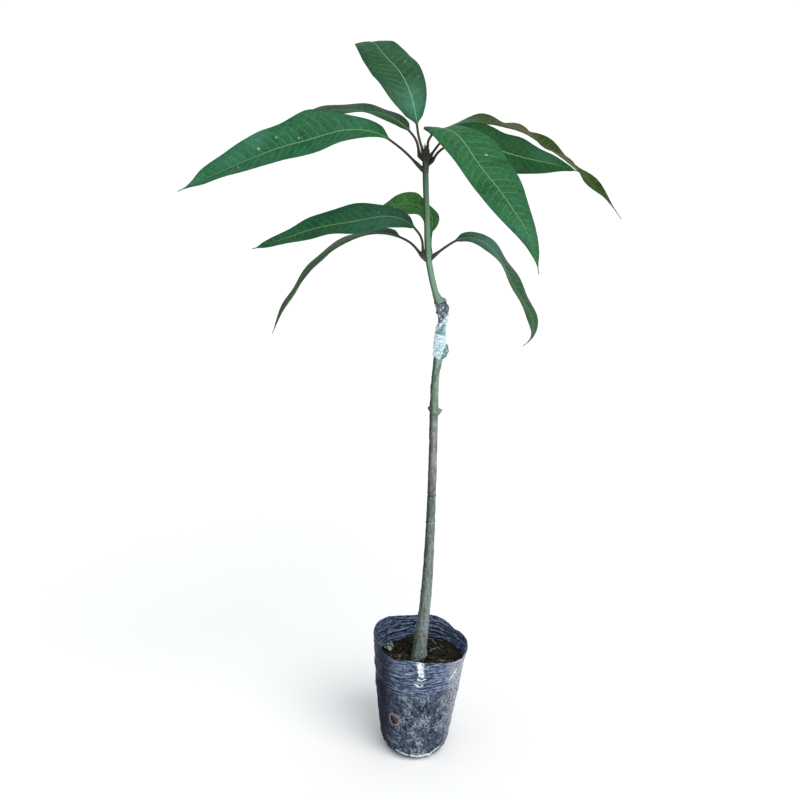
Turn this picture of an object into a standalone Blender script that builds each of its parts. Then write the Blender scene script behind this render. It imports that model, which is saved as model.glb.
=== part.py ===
"""Grafted mango sapling in a black nursery grow bag.

Metres, +Z up. The origin is the centre of the bag's flat underside.
+X is the side that the stem bows towards, and -Y is the front.
"""

import math

import bmesh
import bpy
from mathutils import Matrix, Vector

# Clearance between pieces that touch on the real plant
GAP = 0.0003

# Grow bag: a flat 7 by 8 inch bag opened out to a round pot
BAG_HEIGHT = 0.143
BAG_BASE_RADIUS = 0.0445
BAG_RIM_RADIUS = 0.056
BAG_BASE_SQUEEZE = 0.08
BAG_CORNER_RADIUS = 0.014
BAG_WALL = 0.0016
BAG_RIM_SHIFT = 0.009
BAG_RIM_DROP = 0.010
BAG_SIDES = 40
HOLE_RADIUS = 0.0055
HOLE_HEIGHT = 0.057
HOLE_AZIMUTHS = (236, 356, 116)
DRILL_LENGTH = 0.020
DRILL_SIDES = 16
CORNER_STEPS = 4
WALL_STEPS = 5
RIM_STEPS = 2

# Soil: level under the trunk and a little lower at the wall
SOIL_HEIGHT = 0.1187
SOIL_EDGE_DROP = 0.003
SOIL_SEAT_RADIUS = 0.016
SOIL_SHOULDER_SHARE = 0.75

# Stem centre line: height, then X and Y, from the soil to the growing tip
STEM_LINE = (
    (0.119, 0.0060, 0.000),
    (0.190, 0.0140, 0.002),
    (0.255, 0.0180, 0.003),
    (0.325, 0.0205, 0.003),
    (0.390, 0.0218, 0.002),
    (0.470, 0.0232, 0.000),
    (0.500, 0.0270, -0.001),
    (0.530, 0.0288, -0.001),
    (0.554, 0.0296, -0.001),
    (0.572, 0.0235, 0.000),
    (0.610, 0.0148, 0.001),
    (0.650, 0.0130, 0.002),
    (0.700, 0.0112, 0.001),
    (0.727, 0.0118, 0.000),
)

# Stem radius at a height: root flare, taper, node, graft, knob and green shoot
STEM_RADII = (
    (0.119, 0.0096),
    (0.132, 0.0082),
    (0.190, 0.0066),
    (0.250, 0.0057),
    (0.330, 0.0049),
    (0.425, 0.0048),
    (0.435, 0.0058),
    (0.446, 0.0048),
    (0.485, 0.0049),
    (0.506, 0.0060),
    (0.536, 0.0056),
    (0.548, 0.0074),
    (0.560, 0.0068),
    (0.566, 0.0046),
    (0.590, 0.0036),
    (0.680, 0.0032),
    (0.727, 0.0034),
)

# Heights at which the stem's pieces meet
ROOTSTOCK_TOP = 0.506
SCION_TOP = 0.566
SHOOT_TOP = 0.727

# Faceting of the stem: sides of the bevel, station spacings, straight run at each cut
STEM_BEVEL_RESOLUTION = 5
ROOTSTOCK_SPACING = 0.016
SCION_SPACING = 0.005
SHOOT_SPACING = 0.010
WRAP_SPACING = 0.004
CUT_LEAD = 0.002

# Grafting tape wound round the union
WRAP_BOTTOM = 0.491
WRAP_TOP = 0.528
WRAP_THICKNESS = 0.0013

# Terminal bud
BUD_HEIGHT = 0.009
BUD_RADIUS = 0.0025
BUD_TIP_SHARE = 0.25
BUD_SIDES = 10

# Leaf sections: petiole, blade, midrib and wavy margin
PETIOLE_RADIUS = 0.0016
PETIOLE_BASE_RADIUS = 0.0023
PETIOLE_SWELLING_SHARE = 0.35
PETIOLE_STRAIGHT_SHARE = 0.3
PETIOLE_STATIONS = 6
BLADE_STATIONS = 18
BLADE_THICKNESS_SHARE = 0.0105
EDGE_THICKNESS_SHARE = 0.5
MIDRIB_DEPTH = 0.0012
MIDRIB_HALF_SHARE = 0.12
TIP_HALF_WIDTH = 0.0010
DRIP_WIDTH_SHARE = 0.12
BLADE_START = 0.06
WAVE_COUNT = 3.5
WAVE_LAG = 2.1
WAVE_FADE_SHARE = 0.25

# Ring of each leaf section, all round from the right-hand edge: share of the half width
# and layer (1 above, -1 below) on the blade, and the matching angles on the petiole
BLADE_RING = (
    (1.0, 1), (0.5, 1), (0.0, 1), (-0.5, 1), (-1.0, 1), (-1.0, -1), (-0.5, -1),
    (-MIDRIB_HALF_SHARE, -1), (0.0, -1), (MIDRIB_HALF_SHARE, -1), (0.5, -1), (1.0, -1))
PETIOLE_RING = (15, 52, 90, 128, 165, 195, 222, 248, 270, 292, 318, 345)

# Each leaf: where its petiole leaves the shoot, its real size, and how it lies.
# heading is the compass direction in degrees from +X, pitch the slope above level,
# and roll the lift of its right-hand edge, each at equal steps from base to tip.
# outline gives two powers: how fast the blade widens at its base and narrows to its tip.
# right and left scale the widths of its two halves at equal steps from base to tip,
# and drip is the share of its length that narrows to the drawn-out tip.
LEAVES = {
    "leaf_upper_1": dict(
        height=0.721, attach=110, petiole=0.033, rise=49, length=0.193, width=0.053,
        heading=(122, 123, 126, 116, 89, 60), pitch=(77, 56, 27, 21, -42, -61),
        roll=(-16, 3, 8, 3, 0, 2), fold=-2, outline=(0.60, 0.85), wave=0.0010, drip=0.07,
        right=(0.81, 0.99, 1.01, 1.11, 0.96, 0.98, 1.00),
        left=(0.89, 0.97, 1.04, 0.99, 0.85, 0.96, 1.06)),
    "leaf_upper_2": dict(
        height=0.720, attach=160, petiole=0.027, rise=80, length=0.182, width=0.037,
        heading=(160, 160), pitch=(46, 10, -9, -20, -42),
        roll=(4, -2, 4, 1, 0), fold=2, outline=(0.55, 1.00), wave=0.0012, drip=0.07,
        right=(0.92, 0.95, 1.02, 1.00, 1.00, 1.00, 1.00),
        left=(1.04, 0.96, 1.00, 1.00, 1.00, 1.00, 1.00)),
    "leaf_upper_3": dict(
        height=0.709, attach=195, petiole=0.042, rise=46, length=0.238, width=0.054,
        heading=(191, 190), pitch=(37, -9, -15, -23, -22),
        roll=(17, 35, 44, 29, 37), fold=20, outline=(0.55, 0.90), wave=0.0012, drip=0.13,
        right=(0.90, 0.73, 1.08, 0.97, 1.03, 1.12, 0.76),
        left=(1.00, 1.08, 0.98, 0.89, 1.06, 1.09, 0.96)),
    "leaf_upper_4": dict(
        height=0.720, attach=285, petiole=0.025, rise=98, length=0.224, width=0.059,
        heading=(308, 308, 311, 309, 292), pitch=(46, -34, -35, -45, -68),
        roll=(7, -4, -13, -14, 19), fold=7, outline=(0.38, 0.95), wave=0.0012, drip=0.10,
        right=(0.66, 1.08, 0.97, 0.96, 1.13, 1.03, 0.79),
        left=(0.96, 0.71, 1.14, 1.12, 0.96, 0.75, 0.85)),
    "leaf_upper_5": dict(
        height=0.716, attach=-8, petiole=0.018, rise=56, length=0.153, width=0.048,
        heading=(4, 8), pitch=(35, -16, -17, -13, -19),
        roll=(-46, -51, -30), fold=6, outline=(0.50, 0.90), wave=0.0012, drip=0.07,
        right=(1.00, 1.00, 1.00, 1.01, 1.06, 0.92, 0.85),
        left=(1.00, 1.03, 0.96, 0.95, 0.99, 0.92, 0.92)),
    "leaf_upper_6": dict(
        height=0.719, attach=50, petiole=0.021, rise=39, length=0.279, width=0.040,
        heading=(46, 26, 11, 8), pitch=(39, -11, -28, -41, -55),
        roll=(7, -31), fold=12, outline=(0.50, 1.00), wave=0.0030, drip=0.10,
        right=(1.00, 1.06, 1.07, 0.97, 0.99, 1.01, 1.00),
        left=(1.23, 0.97, 0.98, 0.98, 1.16, 1.09, 0.98)),
    "leaf_lower_1": dict(
        height=0.613, attach=222, petiole=0.032, rise=87, length=0.184, width=0.045,
        heading=(192, 188), pitch=(51, -5, -7, -17, -15),
        roll=(19, 34), fold=8, outline=(0.50, 1.05), wave=0.0012, drip=0.07,
        right=(0.90, 0.88, 1.10, 1.09, 0.93, 1.00, 1.00),
        left=(0.83, 1.20, 1.13, 0.96, 0.92, 0.99, 0.98)),
    "leaf_lower_2": dict(
        height=0.611, attach=158, petiole=0.030, rise=48, length=0.214, width=0.039,
        heading=(165, 165), pitch=(26, -28, -44, -57, -67),
        roll=(1, -7, -9, -9, -7), fold=10, outline=(0.50, 1.00), wave=0.0012, drip=0.07,
        right=(1.08, 1.05, 0.98, 0.98, 1.01, 1.02, 1.00),
        left=(0.93, 0.90, 1.12, 1.03, 0.95, 1.01, 1.05)),
    "leaf_lower_3": dict(
        height=0.614, attach=68, petiole=0.021, rise=93, length=0.113, width=0.032,
        heading=(44, 132, 139, 155, 165), pitch=(78, 25, -2, -25, -36),
        roll=(29, 23, 39, 39, 43), fold=9, outline=(0.50, 1.10), wave=0.0010, drip=0.07,
        right=(1.02, 0.54, 0.50, 1.08, 1.08, 1.00, 1.00),
        left=(0.99, 0.73, 1.00, 0.99, 1.00, 1.00, 1.00)),
    "leaf_lower_4": dict(
        height=0.613, attach=350, petiole=0.026, rise=39, length=0.171, width=0.038,
        heading=(353, 348), pitch=(33, -41, -62, -63, -145),
        roll=(-12, -6, -4, -15, -19), fold=6, outline=(0.50, 0.90), wave=0.0012, drip=0.08,
        right=(0.89, 1.04, 1.02, 0.99, 1.04, 1.25, 1.02),
        left=(1.11, 1.05, 0.90, 1.13, 0.98, 0.89, 1.11)),
}

# Base colours (red, green, blue), roughness
COLOURS = {
    "bag_film": ((0.012, 0.013, 0.019), 0.35),
    "potting_soil": ((0.060, 0.038, 0.026), 0.95),
    "rootstock_bark": ((0.210, 0.215, 0.165), 0.85),
    "scion_bark": ((0.260, 0.245, 0.215), 0.90),
    "grafting_tape": ((0.520, 0.560, 0.620), 0.35),
    "green_shoot": ((0.130, 0.185, 0.095), 0.55),
    "bud_scales": ((0.085, 0.055, 0.035), 0.70),
    "leaf_green": ((0.060, 0.125, 0.075), 0.45),
}


def clear_scene():
    """Start from an empty file without closing it."""
    for item in list(bpy.data.objects):
        bpy.data.objects.remove(item, do_unlink=True)


def new_collection(name):
    """A collection linked to the scene."""
    collection = bpy.data.collections.new(name)
    bpy.context.scene.collection.children.link(collection)
    return collection


def new_material(name, colour_key):
    """A plain Principled material with a colour from the list above."""
    colour, roughness = COLOURS[colour_key]
    material = bpy.data.materials.new(name)
    material.use_nodes = True
    shader = material.node_tree.nodes["Principled BSDF"]
    shader.inputs["Base Color"].default_value = (*colour, 1.0)
    shader.inputs["Roughness"].default_value = roughness
    shader.inputs["Metallic"].default_value = 0.0
    material.diffuse_color = (*colour, 1.0)
    return material


def add_object(name, data, collection, colour_key):
    """Place a mesh or curve in the part's collection with a material of its own."""
    item = bpy.data.objects.new(name, data)
    collection.objects.link(item)
    data.materials.append(new_material(name + "_material", colour_key))
    return item


def mesh_from_profile(name, profile, sides):
    """Turn an open profile of (radius, height) points once round the Z axis."""
    mesh = bpy.data.meshes.new(name + "_profile")
    points = [(radius, 0.0, height) for radius, height in profile]
    edges = [(i, i + 1) for i in range(len(points) - 1)]
    mesh.from_pydata(points, edges, [])
    item = bpy.data.objects.new(name + "_profile", mesh)
    bpy.context.scene.collection.objects.link(item)
    screw = item.modifiers.new("turn", "SCREW")
    screw.axis = "Z"
    screw.angle = math.tau
    screw.steps = sides
    screw.render_steps = sides
    screw.use_normal_flip = True
    screw.use_merge_vertices = True
    screw.merge_threshold = 0.0001
    bpy.context.view_layer.update()
    evaluated = item.evaluated_get(bpy.context.evaluated_depsgraph_get())
    turned = bpy.data.meshes.new_from_object(evaluated)
    turned.name = name
    bpy.data.objects.remove(item, do_unlink=True)
    return turned


def smooth_step(t):
    """0 below 0, 1 above 1 and an S curve between."""
    t = min(1.0, max(0.0, t))
    return t * t * (3.0 - 2.0 * t)


def along(values, t):
    """Value at t from 0 to 1 on a smooth curve through equally spaced values."""
    last = len(values) - 1
    position = min(1.0, max(0.0, t)) * last
    i = min(int(position), last - 1)
    f = position - i
    start = values[i]
    end = values[i + 1]
    before = values[i - 1] if i > 0 else 2.0 * start - end
    after = values[i + 2] if i + 2 <= last else 2.0 * end - start
    slope_in = (end - before) / 2.0
    slope_out = (after - start) / 2.0
    return (
        (2.0 * f ** 3 - 3.0 * f ** 2 + 1.0) * start
        + (f ** 3 - 2.0 * f ** 2 + f) * slope_in
        + (3.0 * f ** 2 - 2.0 * f ** 3) * end
        + (f ** 3 - f ** 2) * slope_out
    )


def stem_slope(i):
    """X and Y change per unit of height at a point of the stem line."""
    low = STEM_LINE[max(0, i - 1)]
    high = STEM_LINE[min(len(STEM_LINE) - 1, i + 1)]
    rise = high[0] - low[0]
    return (high[1] - low[1]) / rise, (high[2] - low[2]) / rise


def stem_centre(height):
    """Point of the stem's centre line at a height."""
    i = 0
    while i < len(STEM_LINE) - 2 and height > STEM_LINE[i + 1][0]:
        i += 1
    low = STEM_LINE[i]
    high = STEM_LINE[i + 1]
    rise = high[0] - low[0]
    f = (height - low[0]) / rise
    point = [0.0, 0.0, height]
    for axis in (0, 1):
        point[axis] = (
            (2.0 * f ** 3 - 3.0 * f ** 2 + 1.0) * low[axis + 1]
            + (f ** 3 - 2.0 * f ** 2 + f) * rise * stem_slope(i)[axis]
            + (3.0 * f ** 2 - 2.0 * f ** 3) * high[axis + 1]
            + (f ** 3 - f ** 2) * rise * stem_slope(i + 1)[axis]
        )
    return Vector(point)


def stem_direction(height):
    """Unit tangent of the stem's centre line."""
    above = stem_centre(height + CUT_LEAD / 2.0)
    below = stem_centre(height - CUT_LEAD / 2.0)
    return (above - below).normalized()


def stem_radius(height):
    """Radius of the stem at a height."""
    for (low, low_radius), (high, high_radius) in zip(STEM_RADII, STEM_RADII[1:]):
        if height <= high:
            return low_radius + (high_radius - low_radius) * smooth_step((height - low) / (high - low))
    return STEM_RADII[-1][1]


def stem_stations(bottom, top, spacing):
    """Centre points and radii along the stem between two flat cuts."""
    count = max(2, round((top - bottom) / spacing))
    heights = [bottom + (top - bottom) * i / count for i in range(count + 1)]
    return [(stem_centre(height), stem_radius(height)) for height in heights]


def curve_tube(name, stations, collection, colour_key, capped=True):
    """A tube of varying radius as a poly curve with a round bevel."""
    curve = bpy.data.curves.new(name, "CURVE")
    curve.dimensions = "3D"
    curve.bevel_depth = 1.0
    curve.bevel_resolution = STEM_BEVEL_RESOLUTION
    curve.use_fill_caps = capped
    spline = curve.splines.new("POLY")
    spline.points.add(len(stations) - 1)
    for point, (centre, radius) in zip(spline.points, stations):
        point.co = (*centre, 1.0)
        point.radius = radius
    spline.use_smooth = True
    return add_object(name, curve, collection, colour_key)


def cut_end(stations, height, side):
    """Finish a run of stations with a cut square to the stem, half a gap short of a height."""
    tangent = stem_direction(height)
    end = stem_centre(height) - tangent * side * GAP / 2.0
    before = end - tangent * side * CUT_LEAD
    pair = [(before, stem_radius(height - side * CUT_LEAD)), (end, stem_radius(height - side * GAP))]
    if side > 0:
        return [s for s in stations if s[0].z < before.z - CUT_LEAD / 2.0] + pair
    return pair[::-1] + [s for s in stations if s[0].z > before.z + CUT_LEAD / 2.0]


def make_rootstock(collection):
    """Rootstock stem, from a level cut on the soil to the graft union."""
    foot = stem_centre(STEM_LINE[0][0])
    radius = stem_radius(foot.z)
    level_cut = [(foot, radius), (foot + Vector((0.0, 0.0, CUT_LEAD / 2.0)), radius)]
    stations = stem_stations(foot.z + 2.0 * CUT_LEAD, ROOTSTOCK_TOP, ROOTSTOCK_SPACING)
    stations = cut_end(level_cut + stations, ROOTSTOCK_TOP, 1)
    return curve_tube("rootstock_stem", stations, collection, "rootstock_bark")


def make_scion_wood(collection):
    """Woody scion above the union, with the knob where its old tip was cut."""
    stations = stem_stations(ROOTSTOCK_TOP, SCION_TOP, SCION_SPACING)
    stations = cut_end(stations, ROOTSTOCK_TOP, -1)
    stations = cut_end(stations, SCION_TOP, 1)
    return curve_tube("scion_wood", stations, collection, "scion_bark")


def make_shoot(collection):
    """Green shoot that carries both whorls of leaves."""
    stations = stem_stations(SCION_TOP, SHOOT_TOP, SHOOT_SPACING)
    stations = cut_end(stations, SCION_TOP, -1)
    return curve_tube("scion_shoot", stations, collection, "green_shoot")


def make_graft_wrap(collection):
    """Sleeve of grafting tape, just clear of the wood all round."""
    stations = [
        (centre, radius + GAP)
        for centre, radius in stem_stations(WRAP_BOTTOM, WRAP_TOP, WRAP_SPACING)
    ]
    wrap = curve_tube("graft_wrap", stations, collection, "grafting_tape", capped=False)
    shell = wrap.modifiers.new("thickness", "SOLIDIFY")
    shell.thickness = WRAP_THICKNESS
    shell.offset = 1.0
    shell.use_even_offset = True
    return wrap


def make_bud(collection):
    """Terminal bud, a small blunt cone on the shoot's tip."""
    mesh = bpy.data.meshes.new("terminal_bud")
    cone = bmesh.new()
    bmesh.ops.create_cone(
        cone, cap_ends=True, segments=BUD_SIDES,
        radius1=BUD_RADIUS, radius2=BUD_RADIUS * BUD_TIP_SHARE, depth=BUD_HEIGHT)
    cone.to_mesh(mesh)
    cone.free()
    bud = add_object("terminal_bud", mesh, collection, "bud_scales")
    bud.location = stem_centre(SHOOT_TOP) + Vector((0.0, 0.0, BUD_HEIGHT / 2.0 + 2.0 * GAP))
    return bud


def bag_radius(height):
    """Outer radius of the bag's wall."""
    return BAG_BASE_RADIUS + (BAG_RIM_RADIUS - BAG_BASE_RADIUS) * height / BAG_HEIGHT


def bag_profile(inset, top):
    """Profile from the axis, round the bottom corner and up the wall, inset from the outside."""
    corner = BAG_CORNER_RADIUS
    centre = bag_radius(corner) - corner
    points = [(0.0, inset)]
    for i in range(CORNER_STEPS + 1):
        angle = -math.pi / 2.0 + (math.pi / 2.0) * i / CORNER_STEPS
        radius = centre + (corner - inset) * math.cos(angle)
        points.append((radius, corner + (corner - inset) * math.sin(angle)))
    for i in range(1, WALL_STEPS + 1):
        height = corner + (top - corner) * i / WALL_STEPS
        points.append((bag_radius(height) - inset, height))
    return points


def base_stretch(share):
    """Scale across and from front to back at a share of the bag's height: the base is oval."""
    squeeze = BAG_BASE_SQUEEZE * (1.0 - share)
    return 1.0 - squeeze, 1.0 + squeeze


def lean_bag(mesh):
    """Narrow the base across, lean the wall towards +X and let the rim drop on that side."""
    for vertex in mesh.vertices:
        share = vertex.co.z / BAG_HEIGHT
        across, deep = base_stretch(share)
        vertex.co.x *= across
        vertex.co.y *= deep
        above_soil = max(0.0, vertex.co.z - SOIL_HEIGHT) / (BAG_HEIGHT - SOIL_HEIGHT)
        vertex.co.z -= BAG_RIM_DROP * above_soil * vertex.co.x / BAG_RIM_RADIUS
        vertex.co.x += BAG_RIM_SHIFT * share


def make_bag(collection, cutters):
    """Open film bag with a flat underside and drainage holes."""
    profile = bag_profile(0.0, SOIL_HEIGHT)
    for i in range(1, RIM_STEPS + 1):
        height = SOIL_HEIGHT + (BAG_HEIGHT - SOIL_HEIGHT) * i / RIM_STEPS
        profile.append((bag_radius(height), height))
    mesh = mesh_from_profile("grow_bag", profile, BAG_SIDES)
    lean_bag(mesh)
    bag = add_object("grow_bag", mesh, collection, "bag_film")
    shell = bag.modifiers.new("film", "SOLIDIFY")
    shell.thickness = BAG_WALL
    shell.offset = -1.0
    shell.use_even_offset = True
    for number, azimuth in enumerate(HOLE_AZIMUTHS, start=1):
        cut = bag.modifiers.new("drain_%d" % number, "BOOLEAN")
        cut.operation = "DIFFERENCE"
        cut.object = make_drill(number, azimuth, cutters)
    return bag


def make_drill(number, azimuth, cutters):
    """Cutter for one drainage hole, square through the wall."""
    mesh = bpy.data.meshes.new("drill_%d" % number)
    rod = bmesh.new()
    bmesh.ops.create_cone(
        rod, cap_ends=True, segments=DRILL_SIDES,
        radius1=HOLE_RADIUS, radius2=HOLE_RADIUS, depth=DRILL_LENGTH)
    bmesh.ops.rotate(rod, verts=rod.verts, matrix=Matrix.Rotation(math.pi / 2.0, 3, "Y"))
    rod.to_mesh(mesh)
    rod.free()
    drill = bpy.data.objects.new("drill_%d" % number, mesh)
    cutters.objects.link(drill)
    angle = math.radians(azimuth)
    lean = BAG_RIM_SHIFT * HOLE_HEIGHT / BAG_HEIGHT
    across, deep = base_stretch(HOLE_HEIGHT / BAG_HEIGHT)
    reach = bag_radius(HOLE_HEIGHT)
    drill.location = (
        reach * math.cos(angle) * across + lean,
        reach * math.sin(angle) * deep,
        HOLE_HEIGHT)
    drill.rotation_euler = (0.0, 0.0, angle)
    drill.hide_render = True
    drill.display_type = "WIRE"
    return drill


def make_soil(collection):
    """Plug of potting soil, just clear of the bag and level where the trunk stands."""
    inset = BAG_WALL + GAP
    edge = SOIL_HEIGHT - SOIL_EDGE_DROP
    profile = bag_profile(inset, edge)
    shoulder = (bag_radius(edge) - inset) * SOIL_SHOULDER_SHARE
    profile.append((shoulder, (edge + SOIL_HEIGHT) / 2.0))
    profile.append((SOIL_SEAT_RADIUS, SOIL_HEIGHT))
    profile.append((0.0, SOIL_HEIGHT))
    mesh = mesh_from_profile("soil", profile, BAG_SIDES)
    lean_bag(mesh)
    return add_object("soil", mesh, collection, "potting_soil")


def heading_vector(heading, pitch):
    """Unit vector from a compass heading and a slope, in degrees."""
    turn = math.radians(heading)
    rise = math.radians(pitch)
    return Vector((math.cos(rise) * math.cos(turn), math.cos(rise) * math.sin(turn), math.sin(rise)))


def leaf_stations(leaf):
    """Centre, frame and share s of a leaf: s runs -1 to 0 on the petiole, 0 to 1 on the blade."""
    root_height = leaf["height"]
    rise = math.radians(leaf["rise"])
    reach = stem_radius(root_height) + 2.0 * GAP + PETIOLE_BASE_RADIUS * math.sin(rise)
    centre = stem_centre(root_height) + reach * heading_vector(leaf["attach"], 0.0)
    heading_now = leaf["attach"]
    pitch_now = leaf["rise"]
    stations = []
    total = PETIOLE_STATIONS + BLADE_STATIONS
    for i in range(total + 1):
        if i <= PETIOLE_STATIONS:
            s = i / PETIOLE_STATIONS - 1.0
        else:
            s = (i - PETIOLE_STATIONS) / BLADE_STATIONS
        heading_next, pitch_next, roll = leaf_attitude(leaf, s)
        if i > 0:
            part = leaf["petiole"] / PETIOLE_STATIONS if s <= 0.0 else leaf["length"] / BLADE_STATIONS
            middle = heading_vector((heading_now + heading_next) / 2.0, (pitch_now + pitch_next) / 2.0)
            centre = centre + middle * part
        heading_now = heading_next
        pitch_now = pitch_next
        forward = heading_vector(heading_now, pitch_now)
        level = heading_vector(heading_now - 90.0, 0.0)
        upward = level.cross(forward)
        turn = math.radians(roll)
        side = level * math.cos(turn) + upward * math.sin(turn)
        face = upward * math.cos(turn) - level * math.sin(turn)
        stations.append((centre.copy(), side, face, s))
    return stations


def leaf_attitude(leaf, s):
    """Heading, pitch and roll of a leaf at a share s of its petiole or blade."""
    if s >= 0.0:
        return along(leaf["heading"], s), along(leaf["pitch"], s), along(leaf["roll"], s)
    t = s + 1.0
    bend = (t - PETIOLE_STRAIGHT_SHARE) / (1.0 - PETIOLE_STRAIGHT_SHARE)
    heading = leaf["attach"] + (leaf["heading"][0] - leaf["attach"]) * smooth_step(t)
    pitch = leaf["rise"] + (leaf["pitch"][0] - leaf["rise"]) * smooth_step(bend)
    return heading, pitch, leaf["roll"][0] * smooth_step(t)


def blade_half_width(leaf, half, s):
    """Width of the right or left half of the blade at a share s of its length."""
    base_power, tip_power = leaf["outline"]
    peak = base_power / (base_power + tip_power)
    full = peak ** base_power * (1.0 - peak) ** tip_power
    shape = s ** base_power * (1.0 - s) ** tip_power / full
    width = TIP_HALF_WIDTH + (leaf["width"] / 2.0 - TIP_HALF_WIDTH) * shape
    narrowing = DRIP_WIDTH_SHARE + (1.0 - DRIP_WIDTH_SHARE) * smooth_step((1.0 - s) / leaf["drip"])
    return max(TIP_HALF_WIDTH, width * along(leaf[half], s) * narrowing)


def blade_section(leaf, s):
    """Ring of (side, face) points across the blade, with a V fold and a midrib below."""
    thickness = leaf["length"] * BLADE_THICKNESS_SHARE
    fold = math.radians(leaf["fold"])
    ring = []
    fade = min(1.0, s / WAVE_FADE_SHARE) * min(1.0, (1.0 - s) / WAVE_FADE_SHARE)
    for q, layer in BLADE_RING:
        depth = thickness / 2.0 * (1.0 - (1.0 - EDGE_THICKNESS_SHARE) * q * q)
        if q == 0.0 and layer < 0:
            depth += MIDRIB_DEPTH * (1.0 - s)
        lag = WAVE_LAG if q < 0.0 else 0.0
        ripple = leaf["wave"] * fade * q * q * math.sin(math.tau * WAVE_COUNT * s + lag)
        half = blade_half_width(leaf, "right" if q > 0.0 else "left", s)
        across = q * half * math.cos(fold)
        up = abs(q) * half * math.sin(fold) + ripple + layer * depth
        ring.append((across, up))
    return ring


def petiole_section(s):
    """Ring of (side, face) points round the petiole, with a swollen base."""
    slimming = smooth_step((s + 1.0) / PETIOLE_SWELLING_SHARE)
    radius = PETIOLE_BASE_RADIUS + (PETIOLE_RADIUS - PETIOLE_BASE_RADIUS) * slimming
    angles = [math.radians(a) for a in PETIOLE_RING]
    return [(radius * math.cos(a), radius * math.sin(a)) for a in angles]


def make_leaf(name, leaf, collection):
    """One leaf as a closed loft, from the petiole's round base to the blade's tip."""
    skin = bmesh.new()
    rings = []
    for centre, side, face, s in leaf_stations(leaf):
        share = smooth_step(s / BLADE_START)
        section = petiole_section(min(s, 0.0))
        if share > 0.0:
            blade = blade_section(leaf, s)
            section = [
                (p[0] + (b[0] - p[0]) * share, p[1] + (b[1] - p[1]) * share)
                for p, b in zip(section, blade)
            ]
        rings.append([skin.verts.new(centre + side * x + face * y) for x, y in section])
    count = len(rings[0])
    for low, high in zip(rings, rings[1:]):
        for i in range(count):
            j = (i + 1) % count
            skin.faces.new((low[i], low[j], high[j], high[i]))
    skin.faces.new(rings[0][::-1])
    skin.faces.new(rings[-1])
    bmesh.ops.recalc_face_normals(skin, faces=skin.faces)
    mesh = bpy.data.meshes.new(name)
    skin.to_mesh(mesh)
    skin.free()
    mesh.shade_smooth()
    return add_object(name, mesh, collection, "leaf_green")


def main():
    """Build the whole sapling."""
    clear_scene()
    plant = new_collection("mango_sapling")
    cutters = new_collection("cutters")
    make_bag(plant, cutters)
    make_soil(plant)
    make_rootstock(plant)
    make_scion_wood(plant)
    make_graft_wrap(plant)
    make_shoot(plant)
    make_bud(plant)
    for name, leaf in LEAVES.items():
        make_leaf(name, leaf, plant)


main()
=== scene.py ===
"""Looks of the grafted mango sapling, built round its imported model.

Metres, +Z up, in the model's frame: the bag stands on Z = 0 and -Y is the front.
"""

import math
from itertools import product

import bmesh
import bpy
import numpy as np
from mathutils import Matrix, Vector


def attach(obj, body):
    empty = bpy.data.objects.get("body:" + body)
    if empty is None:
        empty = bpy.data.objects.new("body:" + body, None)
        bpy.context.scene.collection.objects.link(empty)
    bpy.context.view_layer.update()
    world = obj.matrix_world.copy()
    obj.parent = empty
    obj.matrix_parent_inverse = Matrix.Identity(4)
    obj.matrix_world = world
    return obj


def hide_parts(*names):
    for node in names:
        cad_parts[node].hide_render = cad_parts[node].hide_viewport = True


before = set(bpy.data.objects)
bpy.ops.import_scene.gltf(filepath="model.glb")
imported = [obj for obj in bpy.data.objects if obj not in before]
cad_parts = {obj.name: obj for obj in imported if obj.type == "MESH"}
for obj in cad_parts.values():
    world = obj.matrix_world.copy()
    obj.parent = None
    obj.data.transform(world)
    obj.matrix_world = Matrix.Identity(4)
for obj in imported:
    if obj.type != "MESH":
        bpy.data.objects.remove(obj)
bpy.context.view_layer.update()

# Grow bag and soil
BAG_HEIGHT = 0.143
BAG_BASE_RADIUS = 0.0445
BAG_RIM_RADIUS = 0.056
BAG_BASE_SQUEEZE = 0.08
BAG_CORNER_RADIUS = 0.014
BAG_RIM_SHIFT = 0.009
BAG_RIM_DROP = 0.010
BAG_SIDES = 432
FILM = 0.0004
SOIL_HEIGHT = 0.1187
SOIL_EDGE_DROP = 0.003
SOIL_INSET = 0.0024
SOIL_CENTRE = 0.0075
SOIL_REACH = 0.052
SOIL_SIDES = 300
SOIL_LUMPS = ((0.0016, 0.016), (0.0011, 0.0065), (0.0008, 0.0030), (0.0005, 0.0015))
HOLE_RADIUS = 0.0060
HOLE_HEIGHT = 0.057
HOLE_AZIMUTHS = (236, 356, 116)

# Straws on the soil: start X and Y, heading, length, bend, radius and lift
STRAWS = (
    ((0.0170, 0.0440), -0.85, 0.017, 0.2, 0.00046, 0.0030),
    ((0.0128, -0.0030), 1.15, 0.016, -0.9, 0.00060, 0.0020),
    ((0.0190, 0.0100), 0.55, 0.017, -0.2, 0.00060, 0.0026),
    ((0.0110, -0.0040), 0.10, 0.018, 1.0, 0.00036, 0.0012),
    ((0.0300, -0.0100), 0.10, 0.016, 0.9, 0.00036, 0.0010),
)
ROOTLET_COUNT = 46
ROOTLET_REACH = 0.043
CRUMB_COUNT = 420
CRUMB_REACH = 0.049

# Fibre that hangs on the inside of the film, as points, and its radius
WALL_FIBRE = (
    (0.0308, 0.0456, 0.1330), (0.0336, 0.0446, 0.1300), (0.0353, 0.0437, 0.1265),
    (0.0362, 0.0430, 0.1225), (0.0364, 0.0426, 0.1185),
)
WALL_FIBRE_RADIUS = 0.00046

# Green leaf scrap on the soil: X and Y of its centre, and half its length and width
SCRAP_PLACE = (-0.0300, 0.0250)
SCRAP_HALF = (0.0105, 0.0060)

# Creases round the film: lowest, spacing and count
CREASE_START = 0.0965
CREASE_PITCH = 0.0031
CREASE_COUNT = 15

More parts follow.
